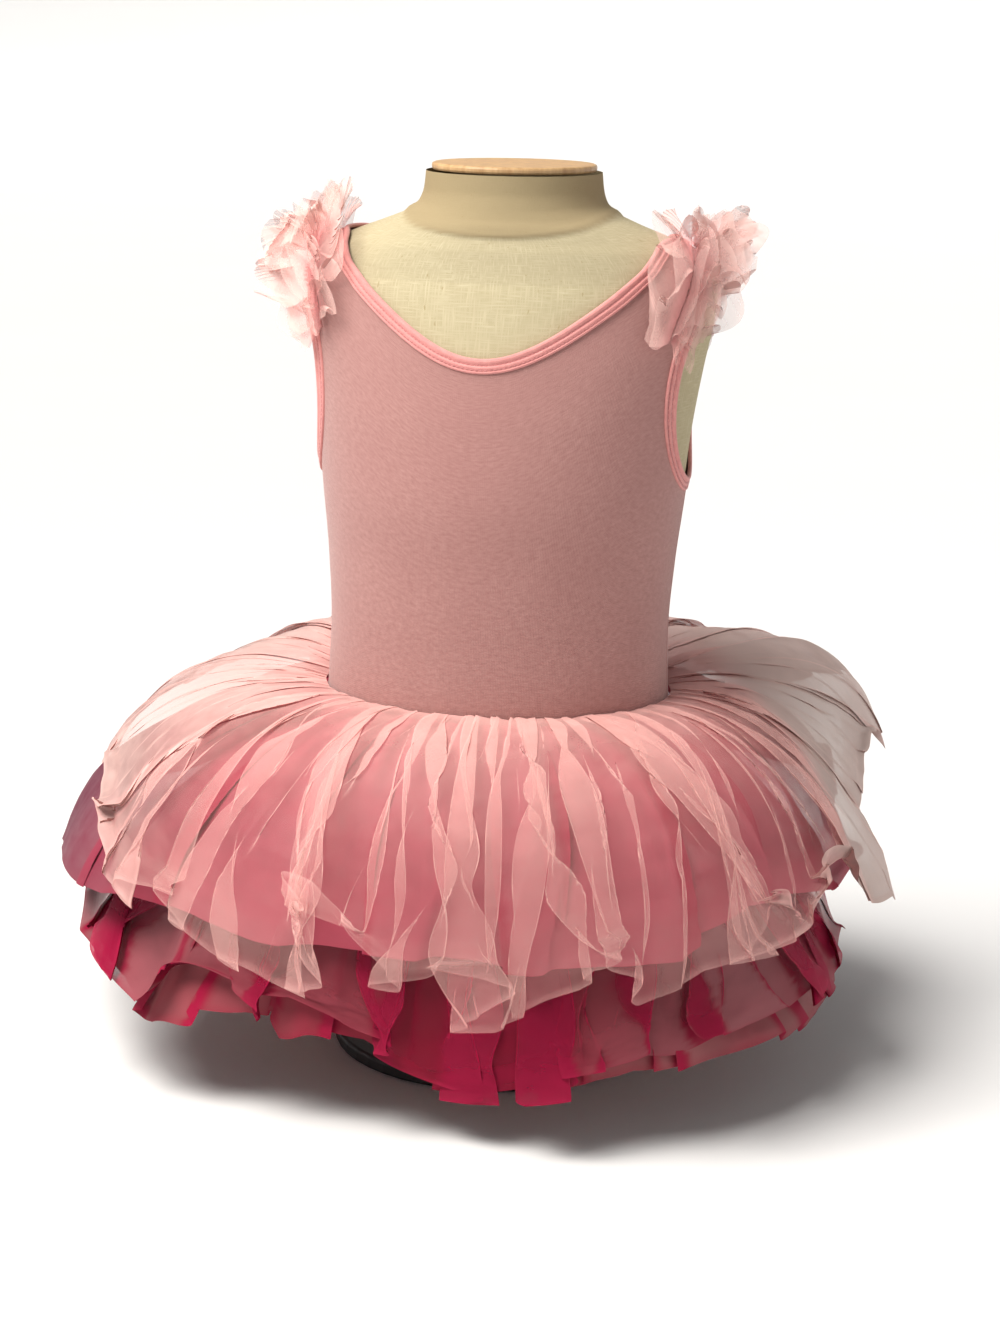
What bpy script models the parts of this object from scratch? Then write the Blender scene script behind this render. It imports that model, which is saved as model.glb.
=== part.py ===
"""A child's ballet tutu dress on a limbless tabletop dress form.

Frame: metres, +Z up, the dress faces -Y, +X is the wearer's left. The origin is the middle of
the stand's underside. Heights named "above the waist" count from the waist seam.

The torso of the form is the surface that the whole garment is drawn on: a point on it is given
by an angle t (0 at +X, 90 degrees at the front, 180 at -X, 270 at the back) and a height above
the waist. A lift moves the point out along the surface's normal.
"""

import math

import bmesh
import bpy
import numpy as np

MM = 0.001
WAIST_ABOVE_TABLE = 202 * MM
SEAM_GAP = 0.3 * MM

# ---------------------------------------------------------------- the dress form

# Rings of the torso, bottom to top.
# height above the waist, half width, half depth, centre's y (all in mm)
TORSO_RINGS = (
    (-118, 84, 66, -4),
    (-114, 92, 74, -4),
    (-100, 96, 78, -4),
    (-60, 97, 79, -5),
    (-20, 94, 75.5, -6),
    (0, 92.5, 73.5, -6),
    (40, 91, 71.5, -5),
    (75, 93, 72.5, -3),
    (112, 97, 74, -1),
    (150, 101, 72, 2),
    (182, 106, 67.5, 5),
    (203, 110, 62.5, 7),
    (219, 111.5, 58, 8),
    (231, 108, 54.5, 9),
    (240, 98.5, 52, 9),
    (247, 84, 50.5, 10),
    (252, 70.5, 49.5, 10),
    (257, 58.5, 48.5, 12),
    (263, 50, 47, 13),
    (270, 47.5, 46, 14),
    (279, 46.5, 45.5, 14),
)
TORSO_COLUMNS = 32
NECK_CAP_THICKNESS = 4 * MM
NECK_CAP_INSET = 2.5 * MM
POLE_RADIUS = 12.5 * MM
COLLAR_RADIUS = 30 * MM
COLLAR_HEIGHT = 12 * MM
BASE_RADIUS = 90 * MM
BASE_THICKNESS = 8 * MM
BASE_ROUNDING = 2 * MM

# ---------------------------------------------------------------- the bodice

BODICE_CLEARANCE = 1.1 * MM  # between the form and the inside of the jersey
JERSEY = 1.2 * MM
BINDING_WIDTH = 7.5 * MM
BINDING_THICKNESS = 2.2 * MM
BODICE_HEM = -8 * MM
BODICE_ROWS = 13
SEAM_SHARE = 0.02  # of a column, kept free on each side of a side seam

NECK_AT_SHOULDER = 245.5 * MM
NECK_DROP_FRONT = 58 * MM
NECK_DROP_BACK = 32 * MM
NECK_ROUNDNESS = 4.2  # a higher power squares the scoop
NECK_STEPS = 48

ARMHOLE_MIDDLE = 178 * MM
ARMHOLE_HALF_HEIGHT = 55 * MM
ARMHOLE_HALF_ANGLE = math.radians(24)
ARMHOLE_STEPS = 36
PLUG_LIFTS = (-7 * MM, 0.0, 4 * MM, 24 * MM)

# ---------------------------------------------------------------- the skirt

TULLE = 1.1 * MM
ON_BODICE = BODICE_CLEARANCE + JERSEY + 1.4 * SEAM_GAP  # lift of what lies on the bodice

# Each layer is a ring of tulle gathered at the waist. Its fall in a direction is a curve from
# the waist to a hem, given by the hem's reach from the axis and height, and by the slopes at
# both ends.
# direction (deg, as t), hem's reach (mm), hem's height (mm), slope at the waist, at the hem (deg)
PALE_FALL = (
    (0, 211, -96, 4, -64),
    (45, 206, -92, 8, -78),
    (90, 173, -130, 0, -86),
    (135, 207, -84, 10, -80),
    (180, 222, -45, 14, -64),
    (225, 222, -34, 18, -62),
    (270, 220, -40, 16, -64),
    (315, 222, -26, 16, -56),
)
ROSE_FALL = (
    (0, 188, -108, -8, -80),
    (45, 188, -93, -8, -82),
    (90, 151, -95, -12, -88),
    (135, 190, -92, -8, -78),
    (180, 250, -92, -14, -60),
    (225, 226, -72, -6, -64),
    (270, 210, -78, -4, -68),
    (315, 208, -66, -6, -66),
)
HOT_PINK_FALL = (
    (0, 178, -132, -36, -62),
    (45, 180, -156, -40, -68),
    (90, 147, -178, -48, -80),
    (135, 188, -140, -38, -62),
    (180, 219, -126, -32, -60),
    (225, 204, -116, -28, -64),
    (270, 184, -126, -28, -70),
    (315, 184, -122, -28, -70),
)
# name, fall, folds, columns per fold, rows, height of its seam, fold depth at the hem (mm)
SKIRT_LAYERS = (
    ("skirt_pale", PALE_FALL, 32, 4, 6, 3.5, 6.5),
    ("skirt_rose", ROSE_FALL, 28, 4, 5, -0.2, 6.0),
    ("skirt_hot_pink", HOT_PINK_FALL, 20, 4, 5, -4.5, 8.0),
)
FOLD_DEPTH_AT_SEAM = 0.4 * MM
FALL_FULLNESS = 1.15  # how strongly the end slopes shape a fall
# A second frill is sewn on the hot pink layer, part of the way down it. Its rows lie at these
# shares of that layer's fall, and it has two folds for each of that layer's.
HOT_FRILL_ROWS = (0.52, 0.75, 0.97)
HOT_FRILL_DEPTH = 5 * MM
HOT_FRILL_STAND_OFF = 8 * MM
HOT_FRILL_SEAM_LIFT = 1.7 * MM

# ---------------------------------------------------------------- the shoulder frills

# name of the row, lean from the surface's normal (deg, outward), height of the frill (mm),
# waves, side shift of its seam (mm)
FRILL_ROWS = (
    ("outer", 28, 29, 9, 1.6),
    ("inner", -58, 32, 8, -1.6),
)
FRILL_FROM_BINDING = 4.5 * MM  # the frills are sewn this far outside the armhole binding
FRILL_END = math.radians(15)  # round the armhole's oval, from its level middle
FRILL_WAVE = 6 * MM

COLOURS = {
    "linen": (0.78, 0.72, 0.56),
    "wood": (0.62, 0.52, 0.38),
    "steel": (0.10, 0.10, 0.11),
    "jersey": (0.80, 0.50, 0.49),
    "binding": (0.86, 0.48, 0.50),
    "pale_tulle": (0.92, 0.68, 0.66),
    "rose_tulle": (0.78, 0.33, 0.38),
    "hot_pink_tulle": (0.70, 0.05, 0.22),
}


def clear_scene():
    for old in list(bpy.data.objects):
        bpy.data.objects.remove(old)


def make_collection(name):
    made = bpy.data.collections.new(name)
    bpy.context.scene.collection.children.link(made)
    return made


def make_material(name, roughness=0.8, metallic=0.0):
    found = bpy.data.materials.get(name)
    if found:
        return found
    made = bpy.data.materials.new(name)
    made.use_nodes = True
    shader = made.node_tree.nodes["Principled BSDF"]
    shader.inputs["Base Color"].default_value = (*COLOURS[name], 1.0)
    shader.inputs["Roughness"].default_value = roughness
    shader.inputs["Metallic"].default_value = metallic
    return made


def smooth_table(x, xs, ys):
    """A monotone cubic through the table's points, so that no ring overshoots its neighbours."""
    xs, ys, x = np.asarray(xs, float), np.asarray(ys, float), np.asarray(x, float)
    steps = np.diff(xs)
    rates = np.diff(ys) / steps
    slopes = np.zeros_like(ys)
    turning = rates[:-1] * rates[1:] <= 0
    with np.errstate(divide="ignore", invalid="ignore"):
        mean = 2 * rates[:-1] * rates[1:] / (rates[:-1] + rates[1:])
    slopes[1:-1] = np.where(turning, 0, mean)
    slopes[0], slopes[-1] = rates[0], rates[-1]
    i = np.clip(np.searchsorted(xs, x, side="right") - 1, 0, len(steps) - 1)
    h = steps[i]
    u = np.clip((x - xs[i]) / h, 0, 1)
    low = ys[i] * (1 + 2 * u) * (1 - u) ** 2 + slopes[i] * h * u * (1 - u) ** 2
    high = ys[i + 1] * u * u * (3 - 2 * u) + slopes[i + 1] * h * u * u * (u - 1)
    return low + high


def torso_ring(height):
    """Half width, half depth and centre's y of the torso at a height above the waist."""
    heights, widths, depths, centres = (np.array(c) * MM for c in zip(*TORSO_RINGS))
    return tuple(smooth_table(height, heights, c) for c in (widths, depths, centres))


def torso_point(t, height):
    t, height = np.broadcast_arrays(np.asarray(t, float), np.asarray(height, float))
    width, depth, centre = torso_ring(height)
    z = height + WAIST_ABOVE_TABLE
    return np.stack([width * np.cos(t), centre - depth * np.sin(t), z], axis=-1)


def unit(vectors):
    return vectors / np.maximum(np.linalg.norm(vectors, axis=-1, keepdims=True), 1e-12)


def torso_slopes(t, height):
    """How the surface point moves with the angle and with the height."""
    dt, dz = 1e-4, 0.2 * MM
    by_angle = (torso_point(t + dt, height) - torso_point(t - dt, height)) / (2 * dt)
    by_height = (torso_point(t, height + dz) - torso_point(t, height - dz)) / (2 * dz)
    return by_angle, by_height


def torso_normal(t, height):
    by_angle, by_height = torso_slopes(t, height)
    return unit(np.cross(by_height, by_angle))


def on_torso(t, height, lift):
    t, height, lift = np.broadcast_arrays(t, height, lift)
    return torso_point(t, height) + torso_normal(t, height) * lift[..., None]


def shifted_curve(t, height, width, steps=6):
    """A closed curve on the torso, moved sideways along the surface by a width, to its left."""
    t, height = np.array(t, float), np.array(height, float)
    for _ in range(steps):
        points = torso_point(t, height)
        along = unit(np.roll(points, -1, axis=0) - np.roll(points, 1, axis=0))
        sideways = np.cross(torso_normal(t, height), along) * (width / steps)
        by_angle, by_height = torso_slopes(t, height)
        angle_size = np.sum(by_angle**2, axis=-1)
        height_size = np.sum(by_height**2, axis=-1)
        shear = np.sum(by_angle * by_height, axis=-1)
        a = np.sum(sideways * by_angle, axis=-1)
        b = np.sum(sideways * by_height, axis=-1)
        area = angle_size * height_size - shear**2
        t = t + (a * height_size - b * shear) / area
        height = height + (b * angle_size - a * shear) / area
    return t, height


# ---------------------------------------------------------------- mesh helpers


def add_mesh(name, points, faces, collection, material):
    mesh = bpy.data.meshes.new(name)
    mesh.from_pydata([tuple(p) for p in points], [], faces)
    mesh.validate()
    made = bpy.data.objects.new(name, mesh)
    collection.objects.link(made)
    made.data.materials.append(material)
    return made


def grid_faces(columns, rows, closed):
    """Faces of a grid whose points run row by row; closed joins the last column to the first."""
    last = columns if closed else columns - 1
    return [
        (
            r * columns + c,
            r * columns + (c + 1) % columns,
            (r + 1) * columns + (c + 1) % columns,
            (r + 1) * columns + c,
        )
        for r in range(rows - 1)
        for c in range(last)
    ]


def face_outward(made, outward):
    """Turns an open sheet's faces so that their normals follow outward(face centre)."""
    cage = bmesh.new()
    cage.from_mesh(made.data)
    total = sum(face.normal.dot(outward(face.calc_center_median())) for face in cage.faces)
    if total < 0:
        bmesh.ops.reverse_faces(cage, faces=cage.faces)
    cage.to_mesh(made.data)
    cage.free()


def sheet(name, grid, closed, thickness, collection, material, outward, offset=0.0):
    """An open grid of points (rows, columns, 3) thickened to a wall of cloth."""
    rows, columns = grid.shape[:2]
    faces = grid_faces(columns, rows, closed)
    made = add_mesh(name, grid.reshape(-1, 3), faces, collection, material)
    face_outward(made, outward)
    wall = made.modifiers.new("wall", "SOLIDIFY")
    wall.thickness = thickness
    wall.offset = offset
    wall.use_even_offset = False
    return made


def from_axis(centre):
    outward = centre.copy()
    outward.z = 0
    return outward


def above_axis(centre):
    """Outward and upward, for sheets that spread like a skirt."""
    outward = centre.copy()
    outward.z = outward.length
    return outward


def smooth(made, angle_degrees=40):
    made.data.shade_smooth()
    made.data.set_sharp_from_angle(angle=math.radians(angle_degrees))


# ---------------------------------------------------------------- the dress form's pieces


def make_torso(collection):
    heights = np.array([row[0] for row in TORSO_RINGS]) * MM
    t = -np.arange(TORSO_COLUMNS) / TORSO_COLUMNS * 2 * math.pi
    grid = torso_point(t[None, :], heights[:, None])
    count = len(heights) * TORSO_COLUMNS
    faces = grid_faces(TORSO_COLUMNS, len(heights), True)
    faces.append(tuple(range(TORSO_COLUMNS))[::-1])
    faces.append(tuple(range(count - TORSO_COLUMNS, count)))
    torso = add_mesh("form_torso", grid.reshape(-1, 3), faces, collection, make_material("linen"))
    smooth(torso)
    return torso


def add_cylinder(name, radius, low, high, centre_y, sides, collection, material):
    bpy.ops.mesh.primitive_cylinder_add(
        vertices=sides,
        radius=radius,
        depth=high - low,
        location=(0, centre_y, (low + high) / 2),
    )
    made = bpy.context.active_object
    made.name = name
    for other in list(made.users_collection):
        other.objects.unlink(made)
    collection.objects.link(made)
    made.data.materials.append(material)
    smooth(made)
    return made


def round_edges(made, width, segments):
    rounding = made.modifiers.new("rounding", "BEVEL")
    rounding.width = width
    rounding.segments = segments
    rounding.limit_method = "ANGLE"


def make_stand(collection):
    steel = make_material("steel", roughness=0.35, metallic=0.6)
    wood = make_material("wood", roughness=0.5)
    torso_bottom = WAIST_ABOVE_TABLE + TORSO_RINGS[0][0] * MM
    collar_low = torso_bottom - COLLAR_HEIGHT - SEAM_GAP
    base = add_cylinder("form_base", BASE_RADIUS, 0, BASE_THICKNESS, 0, 48, collection, steel)
    round_edges(base, BASE_ROUNDING, 2)
    pole_low, pole_high = BASE_THICKNESS + SEAM_GAP, collar_low - SEAM_GAP
    add_cylinder("form_pole", POLE_RADIUS, pole_low, pole_high, 0, 20, collection, steel)
    collar = add_cylinder(
        "form_collar", COLLAR_RADIUS, collar_low, torso_bottom - SEAM_GAP, 0, 28, collection, wood
    )
    round_edges(collar, BASE_ROUNDING, 2)
    neck_top = WAIST_ABOVE_TABLE + TORSO_RINGS[-1][0] * MM
    neck_width, neck_depth, neck_centre = (c * MM for c in TORSO_RINGS[-1][1:])
    cap_low = neck_top + SEAM_GAP
    cap = add_cylinder(
        "form_neck_cap",
        1.0,
        cap_low,
        cap_low + NECK_CAP_THICKNESS,
        neck_centre,
        TORSO_COLUMNS,
        collection,
        wood,
    )
    cap.scale = (neck_width - NECK_CAP_INSET, neck_depth - NECK_CAP_INSET, 1)
    bpy.context.view_layer.update()
    cap.data.transform(cap.matrix_world)
    cap.matrix_world.identity()
    round_edges(cap, NECK_CAP_THICKNESS / 3, 2)


# ---------------------------------------------------------------- the bodice's pieces


def neck_edge(t):
    """Height of the neckline's edge at an angle: a scoop in front, a shallower one behind."""
    side = np.sin(t)
    drop = np.where(side > 0, NECK_DROP_FRONT, NECK_DROP_BACK)
    return NECK_AT_SHOULDER - drop * np.abs(side) ** NECK_ROUNDNESS


def neck_angles(steps):
    return np.arange(steps) / steps * 2 * math.pi


def armhole_turns(steps):
    """Half a step off the side seam, so that no point of the oval lies on it."""
    return (np.arange(steps) + 0.5) / steps * 2 * math.pi


def armhole_edge(steps, centre_angle):
    """The armhole's edge, as angles and heights of a closed oval on the torso's side."""
    turn = armhole_turns(steps)
    t = centre_angle + ARMHOLE_HALF_ANGLE * np.cos(turn)
    return t, ARMHOLE_MIDDLE + ARMHOLE_HALF_HEIGHT * np.sin(turn)


def armhole_plug(name, centre_angle, collection):
    """A cutter through the torso's side, as wide as the armhole and its binding."""
    t, height = armhole_edge(ARMHOLE_STEPS, centre_angle)
    t, height = shifted_curve(t, height, BINDING_WIDTH + SEAM_GAP)
    lifts = np.array(PLUG_LIFTS)
    rings = on_torso(t, height, lifts[:, None]).reshape(-1, 3)
    caps = on_torso(centre_angle, ARMHOLE_MIDDLE, lifts[[0, -1]])
    faces = grid_faces(ARMHOLE_STEPS, len(lifts), True)
    ends = ((0, len(rings), -1), (len(rings) - ARMHOLE_STEPS, len(rings) + 1, 1))
    for first, middle, order in ends:
        rim = range(first, first + ARMHOLE_STEPS)
        faces += [(a, b, middle)[::order] for a, b in zip(rim, (*rim[1:], first))]
    plug = add_mesh(name, np.concatenate([rings, caps]), faces, collection, make_material("jersey"))
    cage = bmesh.new()
    cage.from_mesh(plug.data)
    bmesh.ops.recalc_face_normals(cage, faces=cage.faces)
    cage.to_mesh(plug.data)
    cage.free()
    plug.hide_render = True
    plug.display_type = "WIRE"
    return plug


def make_bodice_panel(name, first_step, collection, plugs):
    """Half of the bodice, from side seam to side seam and from the waist to the neck binding.

    Its columns start at the same steps as the neck binding's, so their edges run side by side.
    """
    steps = np.arange(NECK_STEPS // 2 + 1, dtype=float)
    steps[0] += SEAM_SHARE
    steps[-1] -= SEAM_SHARE
    every_t = neck_angles(NECK_STEPS)
    top_t, top = shifted_curve(every_t, neck_edge(every_t), BINDING_WIDTH + SEAM_GAP)
    numbers = np.arange(-1, NECK_STEPS + 2)
    turns = np.floor_divide(numbers, NECK_STEPS) * 2 * math.pi
    wanted = steps + first_step
    base_t = wanted / NECK_STEPS * 2 * math.pi
    top_t = np.interp(wanted, numbers, top_t[numbers % NECK_STEPS] + turns)
    top = np.interp(wanted, numbers, top[numbers % NECK_STEPS])
    # The rows close up towards the shoulders, where the torso turns over.
    share = 1 - (1 - np.linspace(0, 1, BODICE_ROWS)[:, None]) ** 1.6
    t = base_t + (top_t - base_t) * share
    height = BODICE_HEM + (top - BODICE_HEM) * share
    grid = on_torso(t, height, BODICE_CLEARANCE)
    panel = sheet(
        name, grid, False, JERSEY, collection, make_material("jersey"), from_axis, offset=1.0
    )
    for plug in plugs:
        cut = panel.modifiers.new("armhole", "BOOLEAN")
        cut.operation = "DIFFERENCE"
        cut.object = plug
    smooth(panel)
    return panel


def make_binding(name, t, height, width, collection):
    """A folded strip over a raw edge, as a band on the torso between the edge and its shift."""
    inner_t, inner_height = shifted_curve(t, height, width)
    angles, heights = np.stack([t, inner_t]), np.stack([height, inner_height])
    grid = on_torso(angles, heights, BODICE_CLEARANCE)
    made = sheet(
        name,
        grid,
        True,
        BINDING_THICKNESS,
        collection,
        make_material("binding"),
        from_axis,
        offset=1.0,
    )
    smooth(made, 60)
    return made


def make_bodice(collection, cutters):
    sides = (("left", 0.0), ("right", math.pi))
    plugs = [armhole_plug(f"armhole_plug_{side}", at, cutters) for side, at in sides]
    make_bodice_panel("bodice_front", 0, collection, plugs)
    make_bodice_panel("bodice_back", NECK_STEPS // 2, collection, plugs)
    t = neck_angles(NECK_STEPS)
    make_binding("neck_binding", t, neck_edge(t), BINDING_WIDTH, collection)
    for side, at in sides:
        t, height = armhole_edge(ARMHOLE_STEPS, at)
        make_binding(f"armhole_binding_{side}", t, height, BINDING_WIDTH, collection)


# ---------------------------------------------------------------- the skirt's pieces


def fall_at(t, fall):
    """The fall table's columns in the directions t, in metres and radians."""
    angles, *columns = (np.array(c, float) for c in zip(*fall))
    angles = np.radians(np.concatenate([angles - 360, angles, angles + 360]))
    t = np.mod(t, 2 * math.pi)
    reach, height, start, end = (smooth_table(t, angles, np.tile(c, 3)) for c in columns)
    return reach * MM, height * MM, np.radians(start), np.radians(end)


def fold_phase(t, folds, seed):
    """The folds' phase: uneven widths, yet a whole number of folds in a turn."""
    drift = 0.9 * np.sin(3 * t + seed) + 0.6 * np.sin(7 * t + 2.3 * seed)
    return folds * t + drift


def fold_columns(folds, per_fold, seed):
    """Angles that sample every fold at its crest, its trough and between."""
    fine = np.linspace(0, 2 * math.pi, 4001)
    phase = fold_phase(fine, folds, seed)
    wanted = phase[0] + np.arange(folds * per_fold) / per_fold * 2 * math.pi
    return np.interp(wanted, phase, fine)


def skirt_fall(t, share, fall, seam):
    """Points and upward normals of a layer, for the directions t and the shares of its fall."""
    reach, height, start, end = fall_at(t, fall)
    # The steeper a layer leaves the seam, the more its wall and folds lean on the bodice.
    lean = (TULLE / 2 + FOLD_DEPTH_AT_SEAM) * np.abs(np.sin(start))
    waist = on_torso(t, seam, ON_BODICE + lean)
    direction = np.stack([np.cos(t), -np.sin(t), np.zeros_like(t)], axis=-1)
    hem = direction * reach[:, None]
    hem[:, 2] = height + WAIST_ABOVE_TABLE
    span = hem - waist
    size = np.linalg.norm(span, axis=-1, keepdims=True) * FALL_FULLNESS
    outward = unit(span * np.array([1, 1, 0]))
    upward = np.array([0.0, 0.0, 1.0])
    leave = (outward * np.cos(start)[:, None] + upward * np.sin(start)[:, None]) * size
    arrive = (outward * np.cos(end)[:, None] + upward * np.sin(end)[:, None]) * size
    u = share[:, None, None]
    points = (
        waist * (1 + 2 * u) * (1 - u) ** 2
        + leave * u * (1 - u) ** 2
        + hem * u * u * (3 - 2 * u)
        + arrive * u * u * (u - 1)
    )
    run = unit(
        (hem - waist) * 6 * u * (1 - u)
        + leave * (1 - u) * (1 - 3 * u)
        + arrive * u * (3 * u - 2)
    )
    normal = upward * np.sum(run * outward, axis=-1, keepdims=True) - outward * run[..., 2:]
    return points, unit(normal)


def skirt_layer_grid(layer, seed):
    _, fall, folds, per_fold, rows, seam, depth = layer
    t = fold_columns(folds, per_fold, seed)
    share = np.linspace(0, 1, rows)
    points, normal = skirt_fall(t, share, fall, seam * MM)
    wave = np.sin(fold_phase(t, folds, seed))
    uneven = 1 + 0.25 * np.sin(5 * t + seed)
    swell = FOLD_DEPTH_AT_SEAM + depth * MM * share[:, None] * uneven[None, :]
    return points + normal * (swell * wave[None, :])[..., None]


def sewn_on_frill(base):
    """A gathered strip that starts on the base layer's own points and stands off towards its hem."""
    rows = np.array(HOT_FRILL_ROWS) * (len(base) - 1)
    low = np.minimum(rows.astype(int), len(base) - 2)
    part = (rows - low)[:, None, None]
    on_base = base[low] * (1 - part) + base[low + 1] * part
    between = (on_base + np.roll(on_base, -1, axis=1)) / 2
    on_base = np.stack([on_base, between], axis=2).reshape(len(rows), -1, 3)
    run = np.gradient(on_base, axis=0)
    around = np.roll(on_base, -1, axis=1) - np.roll(on_base, 1, axis=1)
    normal = unit(np.cross(around, run))
    normal *= np.sign(np.sum(normal * up_and_outward(on_base), axis=-1, keepdims=True))
    grown = (rows - rows[0]) / (rows[-1] - rows[0])
    wave = np.sin(np.arange(on_base.shape[1]) * math.pi / 2)
    lift = HOT_FRILL_STAND_OFF + HOT_FRILL_DEPTH * wave
    lift = HOT_FRILL_SEAM_LIFT + lift[None, :] * grown[:, None]
    return on_base + normal * lift[..., None]


def up_and_outward(points):
    outward = points * np.array([1, 1, 0])
    outward[..., 2] = np.linalg.norm(outward, axis=-1)
    return outward


def make_skirt(collection):
    pale = make_material("pale_tulle")
    rose = make_material("rose_tulle")
    hot = make_material("hot_pink_tulle")
    made = []
    for seed, (layer, material) in enumerate(zip(SKIRT_LAYERS, (pale, rose, hot)), 1):
        made.append((layer[0], skirt_layer_grid(layer, seed), material))
    made.append(("skirt_hot_pink_frill", sewn_on_frill(made[-1][1]), hot))
    for name, grid, material in made:
        layer = sheet(name, grid, True, TULLE, collection, material, above_axis)
        smooth(layer, 60)


# ---------------------------------------------------------------- the shoulder frills


def frill_line(share, side):
    """Angle and height of the frill's seam over the shoulder, from its front end to its back."""
    t, height = armhole_edge(ARMHOLE_STEPS, 0.0)
    t, height = shifted_curve(t, height, BINDING_WIDTH + FRILL_FROM_BINDING)
    turn = armhole_turns(ARMHOLE_STEPS)
    wanted = FRILL_END + (math.pi - 2 * FRILL_END) * share
    t, height = np.interp(wanted, turn, t), np.interp(wanted, turn, height)
    return (t if side > 0 else math.pi - t), height


def make_frill(side_name, side, row, seed, collection):
    row_name, lean, tall, waves, shift = row
    columns = waves * 4 + 1
    share = np.linspace(0, 1, columns)
    t, height = frill_line(share, side)
    normal = torso_normal(t, height)
    seam = on_torso(t, height, ON_BODICE + TULLE / 2 * math.sin(math.radians(abs(lean))))
    along = unit(np.gradient(seam, axis=0))
    outward = np.cross(along, normal) * side
    angle = math.radians(lean)
    rise = unit(normal * math.cos(angle) + outward * math.sin(angle))
    across = unit(np.cross(along, rise))
    seam = seam + outward * shift * MM
    round_off = np.sin(np.clip(share, 0.04, 0.96) * math.pi) ** 0.3
    levels = np.array([0.0, 0.45, 1.0])[:, None]
    wave = np.sin(share * waves * 2 * math.pi + seed)
    size = levels * tall * MM * round_off[None, :]
    sideways = levels * FRILL_WAVE * wave[None, :] * round_off[None, :]
    fan = (share - 0.5)[None, :] * levels * 16 * MM
    grid = (
        seam[None]
        + rise[None] * size[..., None]
        + across[None] * sideways[..., None]
        + along[None] * fan[..., None]
    )
    name = f"shoulder_frill_{side_name}_{row_name}"
    material = make_material("pale_tulle")
    made = sheet(name, grid, False, TULLE, collection, material, from_axis)
    smooth(made, 60)
    return made


def make_frills(collection):
    for side_name, side in (("left", 1), ("right", -1)):
        for seed, row in enumerate(FRILL_ROWS):
            make_frill(side_name, side, row, seed, collection)


def main():
    clear_scene()
    parts = make_collection("ballet_tutu_on_dress_form")
    cutters = make_collection("cutters")
    make_torso(parts)
    make_stand(parts)
    make_bodice(parts, cutters)
    make_skirt(parts)
    make_frills(parts)


main()
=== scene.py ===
"""Looks of the ballet tutu on its dress form.

Every cloth piece is a fine shell drawn on the same surfaces as its CAD solid: the bodice on the
form's torso, and each tulle layer on its fall from the waist to the hem. The folds are laid in
code: gathers at the waist, pleats that open towards the hem, and folds placed one by one.
Angles: 0 at +X, 90 degrees at the front (-Y), 180 at -X, 270 at the back.
"""

import math

import bpy
import numpy as np
from mathutils import Matrix, Vector


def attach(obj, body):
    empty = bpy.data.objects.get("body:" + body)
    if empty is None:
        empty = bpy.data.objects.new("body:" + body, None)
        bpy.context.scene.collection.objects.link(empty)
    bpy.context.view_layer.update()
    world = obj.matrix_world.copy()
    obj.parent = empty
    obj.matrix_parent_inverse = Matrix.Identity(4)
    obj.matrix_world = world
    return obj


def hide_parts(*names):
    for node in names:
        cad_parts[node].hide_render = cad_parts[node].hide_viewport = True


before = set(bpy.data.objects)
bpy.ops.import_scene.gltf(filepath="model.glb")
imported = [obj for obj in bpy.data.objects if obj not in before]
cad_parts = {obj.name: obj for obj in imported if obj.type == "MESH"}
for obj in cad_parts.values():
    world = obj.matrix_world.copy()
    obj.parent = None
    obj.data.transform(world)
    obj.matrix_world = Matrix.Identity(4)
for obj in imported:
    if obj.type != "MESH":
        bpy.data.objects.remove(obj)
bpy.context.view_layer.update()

MM = 0.001
TURN = 2 * math.pi

# -------- sizes that the CAD also has

WAIST = 202 * MM
# height over the waist, half width, half depth, y of the middle (mm)
TORSO_RINGS = (
    (-118, 84, 66, -4), (-114, 92, 74, -4), (-100, 96, 78, -4), (-60, 97, 79, -5), (-20, 94, 75.5, -6),
    (0, 92.5, 73.5, -6), (40, 91, 71.5, -5), (75, 93, 72.5, -3), (112, 97, 74, -1), (150, 101, 72, 2),
    (182, 106, 67.5, 5), (203, 110, 62.5, 7), (219, 111.5, 58, 8), (231, 108, 54.5, 9), (240, 98.5, 52, 9),
    (247, 84, 50.5, 10), (252, 70.5, 49.5, 10), (257, 58.5, 48.5, 12), (263, 50, 47, 13),
    (270, 47.5, 46, 14), (279, 46.5, 45.5, 14),
)
JERSEY_LIFT = 1.15 * MM
JERSEY = 0.9 * MM
BINDING_WIDTH = 7.5 * MM
BODICE_HEM = -8 * MM
BODICE_TALL = 250 * MM
NECK_AT_SHOULDER = 245.5 * MM
NECK_DROP_FRONT, NECK_DROP_BACK = 58 * MM, 32 * MM
NECK_ROUNDNESS = 4.2
ARMHOLE_MIDDLE = 178 * MM
ARMHOLE_HALF_HEIGHT = 55 * MM
ARMHOLE_HALF_ANGLE = math.radians(24)
ARMHOLE_HALF_WIDTH = 42 * MM
FRILL_FROM_BINDING = 4.5 * MM
FRILL_END = math.radians(15)
ON_BODICE = 2.7 * MM
FALL_FULLNESS = 1.15
# A fold seen edge on is looked through this many times more than flat net.
FOLD_LAYERS = 14.0
EDGE_LAYERS = 1.8
NET_PITCH = 1.5 * MM
KNIT_RIB, KNIT_COURSE = 0.9 * MM, 0.75 * MM
LINEN_THREADS = 0.8 * MM
LEAST_AREA = 0.31
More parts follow.
